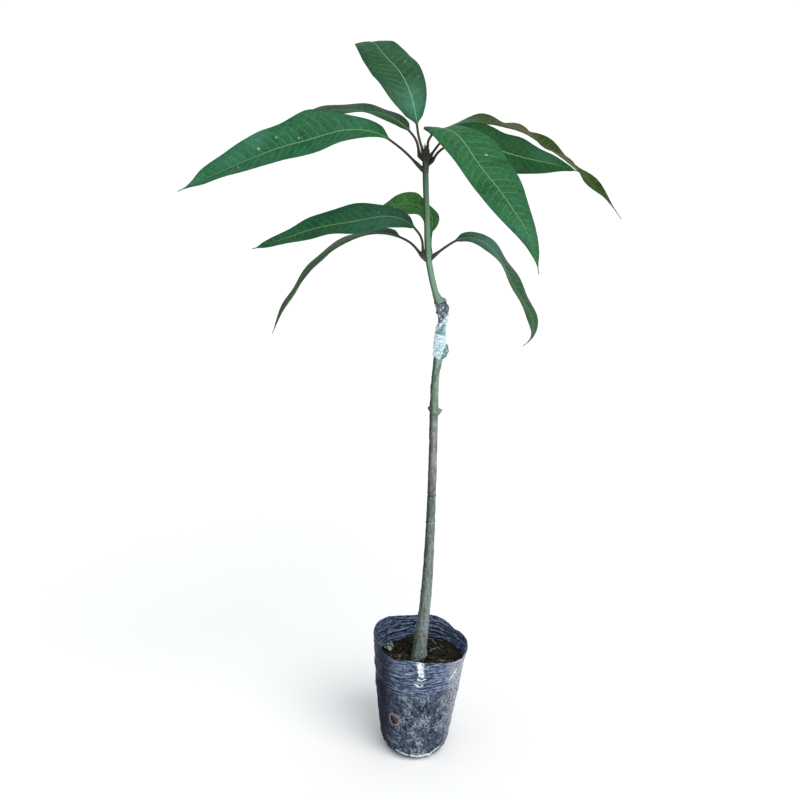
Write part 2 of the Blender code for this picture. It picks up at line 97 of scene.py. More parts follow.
# Upright folds over the soil: direction in radians, width and depth
UPRIGHT_FOLDS = (
    (-1.52, 0.030, 0.0011), (-1.38, 0.020, -0.0007), (-0.55, 0.030, 0.0012), (2.3, 0.05, 0.0010),
)

# Waves of the rim: direction and width in degrees, rise
RIM_WAVES = ((-133.0, 24.0, -0.0080), (66.0, 20.0, 0.0045), (42.0, 7.0, -0.0035), (-38.0, 20.0, -0.0020))

# Glints on the front of the film: X and height of both ends, width, and strength
GLINTS = (
    (0.0072, 0.1410, 0.0088, 0.1250, 0.0037, 1.30),
    (0.0045, 0.1405, 0.0105, 0.1390, 0.0024, 1.1),
    (-0.0100, 0.1245, 0.0050, 0.1275, 0.0013, 0.55),
    (0.0110, 0.1330, 0.0190, 0.1350, 0.0011, 0.50),
    (0.0048, 0.1190, 0.0093, 0.1172, 0.0014, 0.9),
    (0.0093, 0.1172, 0.0128, 0.1190, 0.0012, 0.8),
    (0.0020, 0.1118, 0.0062, 0.1092, 0.0016, 0.9),
    (0.0062, 0.1092, 0.0105, 0.1112, 0.0013, 0.7),
    (0.0515, 0.1195, 0.0418, 0.1085, 0.0010, 0.8),
    (-0.0190, 0.0110, -0.0020, 0.0075, 0.0024, 0.85),
    (-0.0020, 0.0075, 0.0180, 0.0075, 0.0028, 0.95),
    (0.0180, 0.0075, 0.0310, 0.0140, 0.0018, 0.75),
    (-0.0100, 0.1035, 0.0160, 0.1010, 0.0010, 0.45),
)

# Stem centre line: height, then X and Y, from the soil to the growing tip
STEM_LINE = (
    (0.119, 0.0060, 0.000), (0.190, 0.0140, 0.002), (0.255, 0.0180, 0.003), (0.325, 0.0205, 0.003),
    (0.390, 0.0218, 0.002), (0.470, 0.0232, 0.000), (0.500, 0.0270, -0.001), (0.530, 0.0288, -0.001),
    (0.554, 0.0296, -0.001), (0.572, 0.0225, 0.000), (0.610, 0.0148, 0.001), (0.650, 0.0130, 0.002),
    (0.700, 0.0112, 0.001), (0.727, 0.0118, 0.000),
)

# Stem radius at a height
STEM_RADII = (
    (0.112, 0.0106), (0.119, 0.0098), (0.132, 0.0082), (0.190, 0.0066), (0.250, 0.0057),
    (0.330, 0.0049), (0.425, 0.0047), (0.434, 0.0050), (0.446, 0.0047), (0.485, 0.0049),
    (0.506, 0.0056), (0.534, 0.0048), (0.542, 0.0060), (0.552, 0.0076), (0.560, 0.0070),
    (0.566, 0.0044), (0.573, 0.0034), (0.604, 0.0034), (0.613, 0.0044), (0.621, 0.0034),
    (0.700, 0.0031), (0.712, 0.0036), (0.722, 0.0044), (0.727, 0.0036),
)

# Where each length of the stem begins and ends, from the soil up, and the neck under its knob
STEM_FOOT = 0.113
BARK_START = 0.119
ROOTSTOCK_TOP = 0.506
SCION_FOOT = 0.500
SCION_TOP = 0.566
SHOOT_FOOT = SCION_TOP - 0.004
SHOOT_TOP = 0.727
NECK_HEIGHT = 0.5425
NECK_DEPTH = 0.0030

# Old leaf rings on the rootstock, with their depth, and on the shoot
BARK_RINGS = (
    (0.1560, 0.0002), (0.2031, 0.0004), (0.2560, 0.0002), (0.2942, 0.0004),
    (0.3297, 0.0006), (0.3650, 0.0002), (0.4080, 0.0003), (0.4710, 0.0002),
)
SHOOT_RINGS = (0.5745, 0.5790, 0.6065, 0.7030, 0.7080)

# Dormant buds at the old leaf node: direction in radians, height, reach, width and height of each
NODE_BUDS = (
    (math.pi, 0.4370, 0.0020, 0.0018, 0.0050),
    (0.05, 0.4345, 0.0042, 0.0014, 0.0075),
    (0.60, 0.4372, 0.0007, 0.0030, 0.0060),
)

# Bark colours: by share of the rootstock's height, patches with their height and half height, and the
# colour of the painted shade on the stem's left side
BARK_ZONES = (
    (0.00, (0.195, 0.240, 0.220)), (0.08, (0.240, 0.300, 0.285)), (0.30, (0.175, 0.215, 0.205)),
    (0.50, (0.170, 0.208, 0.208)), (0.60, (0.265, 0.270, 0.275)), (0.78, (0.275, 0.275, 0.270)),
    (0.82, (0.185, 0.285, 0.205)), (0.92, (0.200, 0.340, 0.240)), (1.00, (0.310, 0.440, 0.430)),
)
BARK_PATCHES = (
    (0.4120, 0.0060, (0.110, 0.200, 0.110)), (0.3290, 0.0022, (0.050, 0.060, 0.055)),
    (0.2942, 0.0016, (0.330, 0.360, 0.340)), (0.4480, 0.0040, (0.130, 0.220, 0.140)),
    (0.4300, 0.0020, (0.090, 0.085, 0.075)),
)
STEM_PAINTED_SHADE = (0.016, 0.032, 0.024)

# Grafting tape
TAPE_SIDES = 144
TAPE_LOW = 0.4988
TAPE_HIGH = 0.5265
TAPE_WINDING = 0.0060
STRIP_LOW = 0.5210
STRIP_HIGH = 0.5405
FLAP_START = 0.5130
FLAP_DROP = 0.0165
FLAP_THICKNESS = 0.0002
FLAP_STEPS = 40

# Leaf sections and the rows of points along a leaf
PETIOLE_RADIUS = 0.0015
PETIOLE_BASE_RADIUS = 0.0024
BLADE_THICKNESS = 0.0006
MIDRIB_DEPTH = 0.0011
TIP_HALF_WIDTH = 0.0005
DRIP_WIDTH_SHARE = 0.12
BLADE_START = 0.06
WAVE_COUNT = 3.5
WAVE_LAG = 2.1
WAVE_FADE_SHARE = 0.25
VEIN_PITCH = 0.0088
VEIN_SLANT = 0.62
VEIN_ROWS = 12
HALF_COLUMNS = 20
PETIOLE_ROWS = 26

# Swollen joint of a petiole: how far it starts below it in the stem, then reach and size of each ring
JOINT_SINK = 0.0065
JOINT_STEPS = ((0.10, 0.75), (0.55, 0.95), (0.85, 1.02))

# Each leaf: where its petiole leaves the shoot, its real size, and how it lies.
# heading is the compass direction in degrees from +X, pitch the slope above level,
# and roll the lift of its right-hand edge, each at equal steps from base to tip.
# outline gives two powers: how fast the blade widens at its base and narrows to its tip.
# right and left scale the widths of its two halves at equal steps from base to tip,
# wave is the height of the waves of its margin, and drip the share of its length
# that narrows to the drawn-out tip.
# colours are those of the upper side, the lower side and the petiole, tuned one by one to how light or
# dark each leaf looks, so they also carry painted light and shade.
# blue-green patches of painted sheen are given by share of the length, place across from -1 to 1, spread
# and strength.
# specks are small and white: share of the length, place across and radius.
LEAF_COMMON = dict(wave=0.0012, drip=0.07, specks=())
LEAVES = {
    "leaf_upper_1": dict(
        height=0.721, attach=110, petiole=0.033, rise=49, length=0.193, width=0.053,
        heading=(122, 123, 126, 116, 89, 60), pitch=(77, 56, 27, 21, -42, -61),
        roll=(-16, 3, 8, 3, 0, 2), fold=-2, outline=(0.60, 0.85), wave=0.0010,
        right=(0.81, 0.99, 1.01, 1.11, 0.96, 0.98, 1.00),
        left=(1.05, 1.22, 1.18, 1.07, 0.90, 0.96, 1.06),
        colours=((0.020, 0.083, 0.034), (0.050, 0.110, 0.040), (0.060, 0.085, 0.058)),
        sheen_patches=((0.12, 0.10, 0.19, 0.85), (0.98, -0.3, 0.10, 0.35)),
        specks=((0.404, 0.53, 0.0008), (0.28, 0.70, 0.0005))),
    "leaf_upper_2": dict(
        height=0.720, attach=160, petiole=0.027, rise=80, length=0.182, width=0.037,
        heading=(160, 160), pitch=(46, 8, -3, -24, -42),
        roll=(4, -2, 4, 1, 0), fold=2, outline=(0.55, 1.00),
        right=(1.33, 1.54, 1.64, 1.33, 1.17, 1.10, 1.07),
        left=(1.02, 1.29, 1.31, 1.15, 1.08, 1.05, 1.03),
        colours=((0.011, 0.057, 0.018), (0.050, 0.110, 0.040), (0.060, 0.060, 0.048)),
        sheen_patches=((0.30, -0.20, 0.25, 0.25),)),
    "leaf_upper_3": dict(
        height=0.709, attach=195, petiole=0.042, rise=46, length=0.238, width=0.054,
        heading=(191, 190), pitch=(37, -9, -15, -23, -22),
        roll=(17, 35, 44, 29, 37), fold=20, outline=(0.55, 0.90), drip=0.13,
        right=(0.90, 0.73, 1.08, 0.97, 1.03, 1.12, 0.76),
        left=(1.00, 1.08, 0.98, 0.89, 1.06, 1.09, 0.96),
        colours=((0.018, 0.114, 0.046), (0.050, 0.110, 0.040), (0.065, 0.065, 0.055)),
        sheen_patches=((0.60, 0.80, 0.09, 0.65), (0.72, 0.50, 0.16, 0.35), (0.93, 0.2, 0.10, 0.35)),
        specks=(
            (0.604, 0.28, 0.0013), (0.517, 0.45, 0.0010), (0.425, 0.15, 0.0009),
            (0.717, -0.45, 0.0009))),
    "leaf_upper_4": dict(
        height=0.720, attach=285, petiole=0.025, rise=98, length=0.224, width=0.059,
        heading=(308, 308, 311, 309, 292), pitch=(46, -34, -35, -45, -68),
        roll=(7, -4, -13, -14, 19), fold=7, outline=(0.38, 0.95), drip=0.10,
        right=(0.66, 1.08, 0.97, 0.96, 1.13, 1.03, 0.79),
        left=(0.96, 0.71, 1.14, 1.12, 0.96, 0.75, 0.85),
        colours=((0.021, 0.118, 0.043), (0.024, 0.060, 0.028), (0.060, 0.060, 0.048)),
        sheen_patches=((0.10, -0.60, 0.13, 0.45), (0.80, 0.30, 0.16, 0.25)),
        specks=((0.367, -0.38, 0.0012),)),
    "leaf_upper_5": dict(
        height=0.716, attach=-8, petiole=0.018, rise=56, length=0.153, width=0.048,
        heading=(4, 8), pitch=(35, -16, -17, -13, -19),
        roll=(-46, -51, -30), fold=6, outline=(0.50, 0.90),
        right=(1.00, 1.00, 1.00, 1.01, 1.06, 0.92, 0.85),
        left=(1.00, 1.03, 0.96, 0.95, 0.99, 0.92, 0.92),
        colours=((0.008, 0.061, 0.015), (0.040, 0.100, 0.035), (0.050, 0.048, 0.040)),
        sheen_patches=((0.75, -0.50, 0.20, 0.25),)),
    "leaf_upper_6": dict(
        height=0.719, attach=50, petiole=0.021, rise=39, length=0.279, width=0.040,
        heading=(46, 26, 11, 8), pitch=(36, -8, -30, -42, -54),
        roll=(7, -31), fold=12, outline=(0.50, 1.00), wave=0.0042, drip=0.10,
        right=(1.00, 1.06, 1.06, 0.96, 0.97, 0.98, 0.97),
        left=(1.13, 0.83, 0.78, 0.73, 0.97, 1.03, 0.77),
        # Olive lower side painted as light shining through the leaf
        colours=((0.026, 0.060, 0.010), (0.060, 0.074, 0.020), (0.050, 0.048, 0.040)),
        sheen_patches=((0.13, -0.60, 0.15, 0.60),)),
    "leaf_lower_1": dict(
        height=0.613, attach=222, petiole=0.032, rise=87, length=0.184, width=0.045,
        heading=(192, 188), pitch=(51, -5, -7, -17, -15),
        roll=(19, 34), fold=8, outline=(0.50, 1.05),
        right=(0.90, 0.88, 1.10, 1.09, 0.93, 1.00, 1.00),
        left=(0.83, 1.20, 1.13, 0.96, 0.92, 0.99, 0.98),
        colours=((0.014, 0.081, 0.032), (0.060, 0.120, 0.050), (0.060, 0.075, 0.045)),
        sheen_patches=((0.25, -0.40, 0.25, 0.35),),
        specks=((0.150, 0.92, 0.0009), (0.24, 0.30, 0.0006))),
    "leaf_lower_2": dict(
        height=0.611, attach=158, petiole=0.030, rise=48, length=0.214, width=0.039,
        heading=(165, 165), pitch=(22, -23, -44, -57, -68),
        roll=(1, -7, -9, -9, -7), fold=10, outline=(0.50, 1.00),
        right=(1.07, 1.04, 0.96, 0.94, 0.95, 0.98, 0.95),
        left=(0.91, 0.87, 1.09, 0.77, 0.75, 0.78, 0.89),
        colours=((0.022, 0.074, 0.032), (0.024, 0.058, 0.022), (0.060, 0.095, 0.062)),
        sheen_patches=((0.20, 0.00, 0.20, 0.45),)),
    "leaf_lower_3": dict(
        height=0.614, attach=68, petiole=0.021, rise=93, length=0.113, width=0.032,
        heading=(44, 132, 139, 155, 165), pitch=(78, 25, -2, -25, -36),
        roll=(29, 23, 39, 39, 43), fold=9, outline=(0.50, 1.10), wave=0.0010,
        right=(1.02, 0.54, 0.50, 1.08, 1.08, 1.00, 1.00),
        left=(0.99, 0.73, 1.00, 0.99, 1.00, 1.00, 1.00),
        # Bright green painted as light shining through the leaf
        colours=((0.050, 0.214, 0.050), (0.050, 0.120, 0.035), (0.080, 0.130, 0.070)),
        sheen_patches=((0.10, 0.20, 0.09, 0.65),)),
    "leaf_lower_4": dict(
        height=0.613, attach=350, petiole=0.026, rise=39, length=0.171, width=0.038,
        heading=(353, 348), pitch=(33, -41, -62, -63, -145),
        roll=(-12, -6, -4, -15, -19), fold=6, outline=(0.50, 0.90), drip=0.08,
        right=(0.89, 1.04, 1.02, 0.99, 1.04, 1.25, 1.02),
        left=(1.11, 1.05, 0.90, 1.13, 0.98, 0.89, 1.11),
        # Olive lower side painted as light shining through the leaf
        colours=((0.024, 0.084, 0.036), (0.030, 0.090, 0.016), (0.080, 0.080, 0.065)),
        sheen_patches=((0.22, 0.00, 0.24, 0.65),),
        specks=((0.045, 0.10, 0.0014),)),
}

# Colours that all leaves share, the first that of the painted sheen, and how far a speck fades out, in its
# radii
SHEEN_COLOUR = (0.060, 0.215, 0.155)
MIDRIB_COLOUR = (0.230, 0.430, 0.150)
SPECK_COLOUR = (0.50, 0.66, 0.58)
SPECK_BLUR = 1.5

# Stage: floor, sky, sun and camera
FLOOR_SIZE = 60.0
FLOOR_COLOUR = (0.96, 0.96, 0.96)
SKY_COLOUR = (0.93, 0.97, 1.0)
SKY_STRENGTH = 0.67
SUN_STRENGTH = 2.0
SUN_SPREAD = 45.0
SUN_COLOUR = (1.0, 0.98, 0.95)
SUN_PLACE = (0.55, -0.75, 1.0)
LENS = 63.0
SENSOR_WIDTH = 36.0
CAMERA_PLACE = (-0.016, -1.480, 0.985)
CAMERA_TILT = 70.0


# Numbers that vary smoothly

def smooth_step(t):
    """0 below 0, 1 above 1 and an S curve between."""
    t = np.clip(t, 0.0, 1.0)
    return t * t * (3.0 - 2.0 * t)


def bell(x, width):
    """A bump of height 1 at 0 that fades within about a width."""
    return np.exp(-(x / width) ** 2)


def curve(f, start, end, start_slope, end_slope):
    """Smooth curve from start to end as f goes from 0 to 1, with a slope at each end."""
    return (
        (2.0 * f ** 3 - 3.0 * f ** 2 + 1.0) * start + (f ** 3 - 2.0 * f ** 2 + f) * start_slope
        + (3.0 * f ** 2 - 2.0 * f ** 3) * end + (f ** 3 - f ** 2) * end_slope
    )


def along(values, t):
    """Value at t from 0 to 1 on a smooth curve through equally spaced values."""
    values = np.asarray(values, float)
    padded = np.concatenate(([2.0 * values[0] - values[1]], values, [2.0 * values[-1] - values[-2]]))
    position = np.clip(t, 0.0, 1.0) * (len(values) - 1)
    i = np.minimum(position.astype(int), len(values) - 2)
    before, start, end, after = (padded[i + k] for k in range(4))
    return curve(position - i, start, end, (end - before) / 2.0, (after - start) / 2.0)


def lattice(cell, seed):
    """A fixed number from 0 to 1 for each whole-number cell."""
    x, y, z = (cell[..., i].astype(np.int64).astype(np.uint32) for i in range(3))
    mixed = x * np.uint32(374761393) + y * np.uint32(668265263) + z * np.uint32(2246822519)
    mixed = mixed + np.uint32(seed * 97531 + 1)
    mixed = (mixed ^ (mixed >> np.uint32(13))) * np.uint32(1274126177)
    mixed = mixed ^ (mixed >> np.uint32(16))
    return mixed.astype(float) / 4294967295.0


def noise(points, size, seed=0):
    """Smooth noise from -1 to 1 whose lumps are about a size across."""
    scaled = np.asarray(points, float) / size
    cell = np.floor(scaled)
    f = smooth_step(scaled - cell)
    total = 0.0
    for corner in product((0, 1), repeat=3):
        weight = 1.0
        for axis in range(3):
            weight = weight * (f[..., axis] if corner[axis] else 1.0 - f[..., axis])
        total = total + weight * lattice(cell + corner, seed)
    return total * 2.0 - 1.0


def crumble(points, size, octaves, seed=0):
    """Noise with finer and weaker lumps added, each half the size of the last."""
    return sum(noise(points, size / 2 ** k, seed + k) * 0.5 ** k for k in range(octaves))


def ridges(points, size, seed=0):
    """Sharp creases: 1 on the lines where the noise passes 0."""
    return 1.0 - np.abs(noise(points, size, seed))


# Directions and grids

UPWARD = np.array([0.0, 0.0, 1.0])


def ring_angles(sides):
    """Angles round a ring, as a row."""
    return np.linspace(-math.pi, math.pi, sides, endpoint=False)[None, :]


def apart(angles, turn):
    """Angle from a direction, from minus half a turn to half a turn."""
    return (angles - turn + math.pi) % math.tau - math.pi


def level_out(angles):
    """Level unit vectors at angles from +X."""
    return np.stack([np.cos(angles), np.sin(angles), 0.0 * angles], axis=-1)


def unit(vectors):
    """Vectors at length 1."""
    return vectors / np.linalg.norm(vectors, axis=-1, keepdims=True)


def flat_place(x, y):
    """Points on the level plane."""
    return np.stack([x, y, 0.0 * x], axis=-1)


# Meshes

def make_mesh(name, points, faces, marks=None):
    """A smooth-shaded mesh object, with named values at its points."""
    mesh = bpy.data.meshes.new(name)
    mesh.from_pydata(np.asarray(points).tolist(), [], faces)
    for mark, values in (marks or {}).items():
        single = values.shape[1] == 1
        layer = mesh.attributes.new(mark, "FLOAT" if single else "FLOAT_VECTOR", "POINT")
        layer.data.foreach_set("value" if single else "vector", values.astype(np.float32).ravel())
    mesh.shade_smooth()
    item = bpy.data.objects.new(name, mesh)
    bpy.context.scene.collection.objects.link(item)
    return item


def ring_faces(rows, columns, keep=None):
    """Quads that join each ring of points to the next."""
    faces = []
    for i in range(rows - 1):
        a = i * columns
        b = a + columns
        for j in range(columns):
            k = (j + 1) % columns
            if keep is None or keep[i, j]:
                faces.append((a + j, a + k, b + k, b + j))
    return faces


def loft(name, rings, marks=None, capped=(True, True), keep=None):
    """A skin over rings of points, its first and last ends closed by fans."""
    rows, columns = rings.shape[:2]
    layers = {"": rings, **(marks or {})}
    layers = {key: value.reshape(rows * columns, -1) for key, value in layers.items()}
    faces = ring_faces(rows, columns, keep)
    for row, closed in zip((0, rows - 1), capped):
        if closed:
            middle = len(layers[""])
            first = row * columns
            for key, value in layers.items():
                layers[key] = np.vstack([value, value[first:first + columns].mean(axis=0)])
            for j in range(columns):
                pair = (first + j, first + (j + 1) % columns)
                faces.append((middle, *(pair[::-1] if row == 0 else pair)))
    return make_mesh(name, layers.pop(""), faces, layers)


def tube(rings, capped=True):
    """Points and faces of a thin tube over rings of points."""
    rows, sides = rings.shape[:2]
    faces = ring_faces(rows, sides)
    if capped:
        faces.append(tuple(range(sides - 1, -1, -1)))
        faces.append(tuple(range((rows - 1) * sides, rows * sides)))
    return rings.reshape(-1, 3), faces


def make_joined(name, parts, material, slot, *nodes):
    """Many small parts as one piece."""
    points, faces = [], []
    for part_points, part_faces in parts:
        first = len(points)
        points.extend(part_points)
        faces.extend(tuple(first + k for k in face) for face in part_faces)
    finish_piece(make_mesh(name, points, faces), material, slot, *nodes)


def finish_piece(piece, material, slot, *nodes):
    """Give a piece its material, attach it to the root body and hide the model's parts that it stands for.
    """
    piece.data.materials.append(material)
    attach(piece, "root")
    if nodes:
        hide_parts(*nodes)


# Materials

class Finish:
    """A Principled material and the nodes that feed it."""

    def __init__(self, name, roughness, specular):
        self.material = bpy.data.materials.new(name)
        self.material.use_nodes = True
        self.tree = self.material.node_tree
        self.shader = self.tree.nodes["Principled BSDF"]
        self.set("Roughness", roughness)
        self.set("Specular IOR Level", specular)

    def feed(self, socket, value):
        """Link a socket, or set a number or a colour on it."""
        if isinstance(value, bpy.types.NodeSocket):
            self.tree.links.new(value, socket)
        elif isinstance(value, tuple) and socket.type == "RGBA":
            socket.default_value = (*value, 1.0)
        else:
            socket.default_value = value

    def set(self, name, value):
        """Set or link an input of the shader."""
        self.feed(self.shader.inputs[name], value)

    def add(self, kind, inputs, **settings):
        """A node with its settings and inputs."""
        node = self.tree.nodes.new("ShaderNode" + kind)
        for key, value in settings.items():
            setattr(node, key, value)
        for key, value in inputs.items():
            self.feed(node.inputs[key], value)
        return node

    def mark(self, name, output="Fac"):
        """A value that the mesh carries at its points."""
        return self.add("Attribute", {}, attribute_name=name).outputs[output]

    def place(self, upright=1.0):
        """Place on the object in metres, its height stretched."""
        spot = self.add("TexCoord", {}).outputs["Object"]
        return self.add("Mapping", {"Vector": spot, "Scale": (1.0, 1.0, upright)}).outputs["Vector"]

    def axis(self, name):
        """Place on the object along X, Y or Z."""
        return self.add("SeparateXYZ", {"Vector": self.place()}).outputs[name]

    def maths(self, operation, a, b=0.0):
        """One sum."""
        return self.add("Math", {0: a, 1: b}, operation=operation).outputs[0]

    def times(self, a, b):
        """Two values multiplied."""
        return self.maths("MULTIPLY", a, b)

    def gap(self, a, b):
        """How far apart two values are."""
        return self.maths("ABSOLUTE", self.maths("SUBTRACT", a, b))

    def share(self, low, high):
        """Share of the way up from one height to another."""
        return self.maths("DIVIDE", self.maths("SUBTRACT", self.axis("Z"), low), high - low)

    def step(self, value, low, high, start=0.0, end=1.0):
        """An S curve from start to end as a value goes from low to high."""
        inputs = {"Value": value, "From Min": low, "From Max": high, "To Min": start, "To Max": end}
        return self.add("MapRange", inputs, interpolation_type="SMOOTHSTEP").outputs["Result"]

    def noise(self, place, size, detail=2.0, roughness=0.5):
        """Soft noise from 0 to 1."""
        inputs = {"Vector": place, "Scale": 1.0 / size, "Detail": detail, "Roughness": roughness}
        return self.add("TexNoise", inputs).outputs["Fac"]

    def cells(self, place, size, feature="F1"):
        """Distance to the nearest of many scattered points, in sizes."""
        inputs = {"Vector": place, "Scale": 1.0 / size}
        return self.add("TexVoronoi", inputs, feature=feature).outputs["Distance"]

    def mix(self, share, a, b):
        """One colour over another by a share."""
        node = self.add("Mix", {}, data_type="RGBA", blend_type="MIX")
        for index, value in ((0, share), (6, a), (7, b)):
            self.feed(node.inputs[index], value)
        return node.outputs[2]

    def ramp(self, value, *stops):
        """Colours at places along a value from 0 to 1."""
        node = self.add("ValToRGB", {0: value})
        elements = node.color_ramp.elements
        while len(elements) < len(stops):
            elements.new(1.0)
        for element, (position, colour) in zip(elements, stops):
            element.position = position
            element.color = (*colour, 1.0)
        return node.outputs["Color"]

    def bump(self, height, depth):
        """Fine relief, as a height from 0 to 1 times a depth in metres."""
        inputs = {"Height": height, "Distance": depth, "Strength": 1.0}
        self.set("Normal", self.add("Bump", inputs).outputs["Normal"])


# Stem

STEM = np.array(STEM_LINE)
RADII = np.array(STEM_RADII)
BELOW = np.maximum(np.arange(len(STEM)) - 1, 0)
ABOVE = np.minimum(np.arange(len(STEM)) + 1, len(STEM) - 1)
STEM_SLOPES = (STEM[ABOVE, 1:] - STEM[BELOW, 1:]) / (STEM[ABOVE, :1] - STEM[BELOW, :1])


def stem_centre(height):
    """Points of the stem's centre line at heights."""
    height = np.asarray(height, float)
    i = np.clip(np.searchsorted(STEM[:, 0], height) - 1, 0, len(STEM) - 2)
    rise = (STEM[i + 1, 0] - STEM[i, 0])[..., None]
    f = (height[..., None] - STEM[i, :1]) / rise
    plan = curve(f, STEM[i, 1:], STEM[i + 1, 1:], rise * STEM_SLOPES[i], rise * STEM_SLOPES[i + 1])
    return np.concatenate([plan, height[..., None]], axis=-1)


def stem_radius(height):
    """Radius of the stem at heights."""
    i = np.clip(np.searchsorted(RADII[:, 0], height) - 1, 0, len(RADII) - 2)
    f = smooth_step((height - RADII[i, 0]) / (RADII[i + 1, 0] - RADII[i, 0]))
    return RADII[i, 1] + (RADII[i + 1, 1] - RADII[i, 1]) * f


def stem_rings(heights, angles, radii):
    """Rings of points round the stem, each square to it."""
    centre = stem_centre(heights[:, 0])
    tangent = unit(np.gradient(centre, axis=0))
    across = unit(np.array([1.0, 0.0, 0.0]) - tangent * tangent[:, :1])
    away = np.cross(tangent, across)
    out = across[:, None] * np.cos(angles)[..., None] + away[:, None] * np.sin(angles)[..., None]
    return centre[:, None] + out * radii[..., None]


def stem_grid(low, high, rows, sides):
    """Heights, angles, radii and points of a smooth length of the stem."""
    heights = np.linspace(low, high, rows)[:, None]
    angles = ring_angles(sides)
    radius = stem_radius(heights)
    return heights, angles, radius, stem_rings(heights, angles, radius)


def bumps(angles, heights, radius, count, seed, low, high, width, tall, depth):
    """Relief of scattered oval bumps, such as pores in the bark."""
    rng = np.random.default_rng(seed)
    relief = np.zeros(np.broadcast(angles, heights).shape)
    for _ in range(count):
        z = rng.uniform(low, high)
        turn = rng.uniform(-math.pi, math.pi)
        scale = rng.uniform(0.6, 1.3)
        rows = np.abs(heights[:, 0] - z) < 3.0 * tall
        across = apart(angles, turn) * radius[rows]
        spot = bell(across, width * scale) * bell(heights[rows] - z, tall * scale)
        relief[rows] = np.maximum(relief[rows], spot * depth * scale)
    return relief


def make_rootstock():
    """Rootstock stem with its bark, leaf scars, pores and old leaf node."""
    heights, angles, radius, base = stem_grid(STEM_FOOT, ROOTSTOCK_TOP, rows=660, sides=72)
    relief = 0.00022 * crumble(base * (1.0, 1.0, 0.14), 0.0016, 3, 11) + 0.00030 * noise(base, 0.006, 15)
    relief += bumps(
        angles, heights, radius, count=230, seed=5, low=0.125, high=0.49,
        width=0.0005, tall=0.0007, depth=0.00026)
    for ring, depth in BARK_RINGS:
        level = heights - ring - 0.0012 * np.sin(angles + ring * 90.0)
        relief += depth * (bell(level, 0.0012) - bell(level + 0.0016, 0.0008))
    relief += smooth_step((0.140 - heights) / 0.020) * 0.0009 * np.cos(3.0 * angles + 0.6)
    for turn, level, reach, wide, tall in NODE_BUDS:
        above = smooth_step((level - heights) / 0.0012 + 1.0)
        below = smooth_step((heights - level) / tall + 1.0) ** 0.5
        relief += reach * above * below * np.sqrt(bell(apart(angles, turn) * radius, wide))
    relief -= 0.0006 * bell(heights - 0.476, 0.014)
    rings = stem_rings(heights, angles, radius + relief)
    piece = loft("rootstock_bark", rings, {"side": np.cos(angles) + 0.0 * heights})
    finish_piece(piece, bark_finish(), "rootstock_bark", "rootstock_stem")


def paint_shade_left(f, colour):
    """Painted shade on the left of the stem, darkest at its edge and weaker at its foot."""
    side = f.mark("side")
    colour = f.mix(f.step(side, 0.30, -0.80, 0.0, 0.42), colour, STEM_PAINTED_SHADE)
    edge = f.times(f.step(side, -0.30, -0.85, 0.0, 0.85), f.step(f.axis("Z"), 0.14, 0.26, 0.35, 1.0))
    return f.mix(edge, colour, STEM_PAINTED_SHADE)


def bark_finish():
    """Young bark: grey-green by zones of height, mottled, with pale pores."""
    f = Finish("rootstock_bark", roughness=0.7, specular=0.08)
    drift = f.times(f.maths("SUBTRACT", f.noise(f.place(), 0.02), 0.5), 0.10)
    colour = f.ramp(f.maths("ADD", f.share(BARK_START, ROOTSTOCK_TOP), drift), *BARK_ZONES)
    streak = f.noise(f.place(0.2), 0.0035, 4.0, 0.65)
    colour = f.mix(f.step(streak, 0.42, 0.66), colour, f.mix(0.70, colour, (0.060, 0.072, 0.060)))
    bright = f.noise(f.place(0.5), 0.0026, 4.0, 0.65)
    colour = f.mix(f.step(bright, 0.53, 0.66, 0.0, 0.62), colour, (0.40, 0.44, 0.41))
    for level, tall, patch_colour in BARK_PATCHES:
        patch = f.step(f.gap(f.axis("Z"), level), tall, 0.3 * tall, 0.0, 0.7)
        patch = f.times(patch, f.step(bright, 0.36, 0.52, 0.25, 1.0))
        colour = f.mix(patch, colour, patch_colour)
    pores = f.step(f.cells(f.place(0.7), 0.0040), 0.10, 0.20, 0.75, 0.0)
    # The bark's colour carries painted shade on its left side
    f.set("Base Color", f.mix(pores, paint_shade_left(f, colour), (0.42, 0.41, 0.35)))
    f.set("Roughness", f.step(streak, 0.3, 0.7, 0.55, 0.8))
    f.bump(f.noise(f.place(0.3), 0.0009, 3.0), 0.0002)
    return f.material


def neck(angles, heights):
    """How far the neck under the knob is drawn in, mostly on the left."""
    return -NECK_DEPTH * bell(apart(angles, math.pi), 0.85) * bell(heights - NECK_HEIGHT, 0.0080)


def make_scion_wood():
    """Woody scion above the union: rough bark and the knob where the old tip was cut."""
    heights, angles, radius, base = stem_grid(SCION_FOOT, SCION_TOP + 0.001, rows=150, sides=96)
    knob = smooth_step((heights - 0.538) / 0.012)
    relief = 0.0010 * crumble(base, 0.0055, 3, 21) * (0.6 + 0.8 * knob)
    relief += 0.0006 * (ridges(base * (1.0, 1.0, 0.5), 0.0030, 25) - 0.6)
    relief += 0.0018 * bell(heights - 0.5585, 0.0045) * np.cos(angles)
    relief += 0.0014 * bell(heights - 0.5575, 0.003) * np.cos(angles - 2.8)
    relief += neck(angles, heights) - 0.0012 * smooth_step((heights - 0.5615) / 0.0030)
    f = Finish("scion_bark", roughness=0.75, specular=0.35)
    colour = f.ramp(
        f.noise(f.place(), 0.0035, 4.0, 0.65),
        (0.36, (0.038, 0.050, 0.064)), (0.47, (0.120, 0.170, 0.210)),
        (0.56, (0.290, 0.380, 0.440)), (0.66, (0.640, 0.720, 0.770)))
    cracks = f.step(f.cells(f.place(0.6), 0.0032, "DISTANCE_TO_EDGE"), 0.02, 0.14, 0.75, 0.0)
    f.set("Base Color", f.mix(cracks, colour, (0.030, 0.028, 0.025)))
    f.bump(f.noise(f.place(), 0.0010, 4.0, 0.6), 0.0004)
    piece = loft("scion_bark", stem_rings(heights, angles, radius + relief))
    finish_piece(piece, f.material, "scion_bark", "scion_wood")


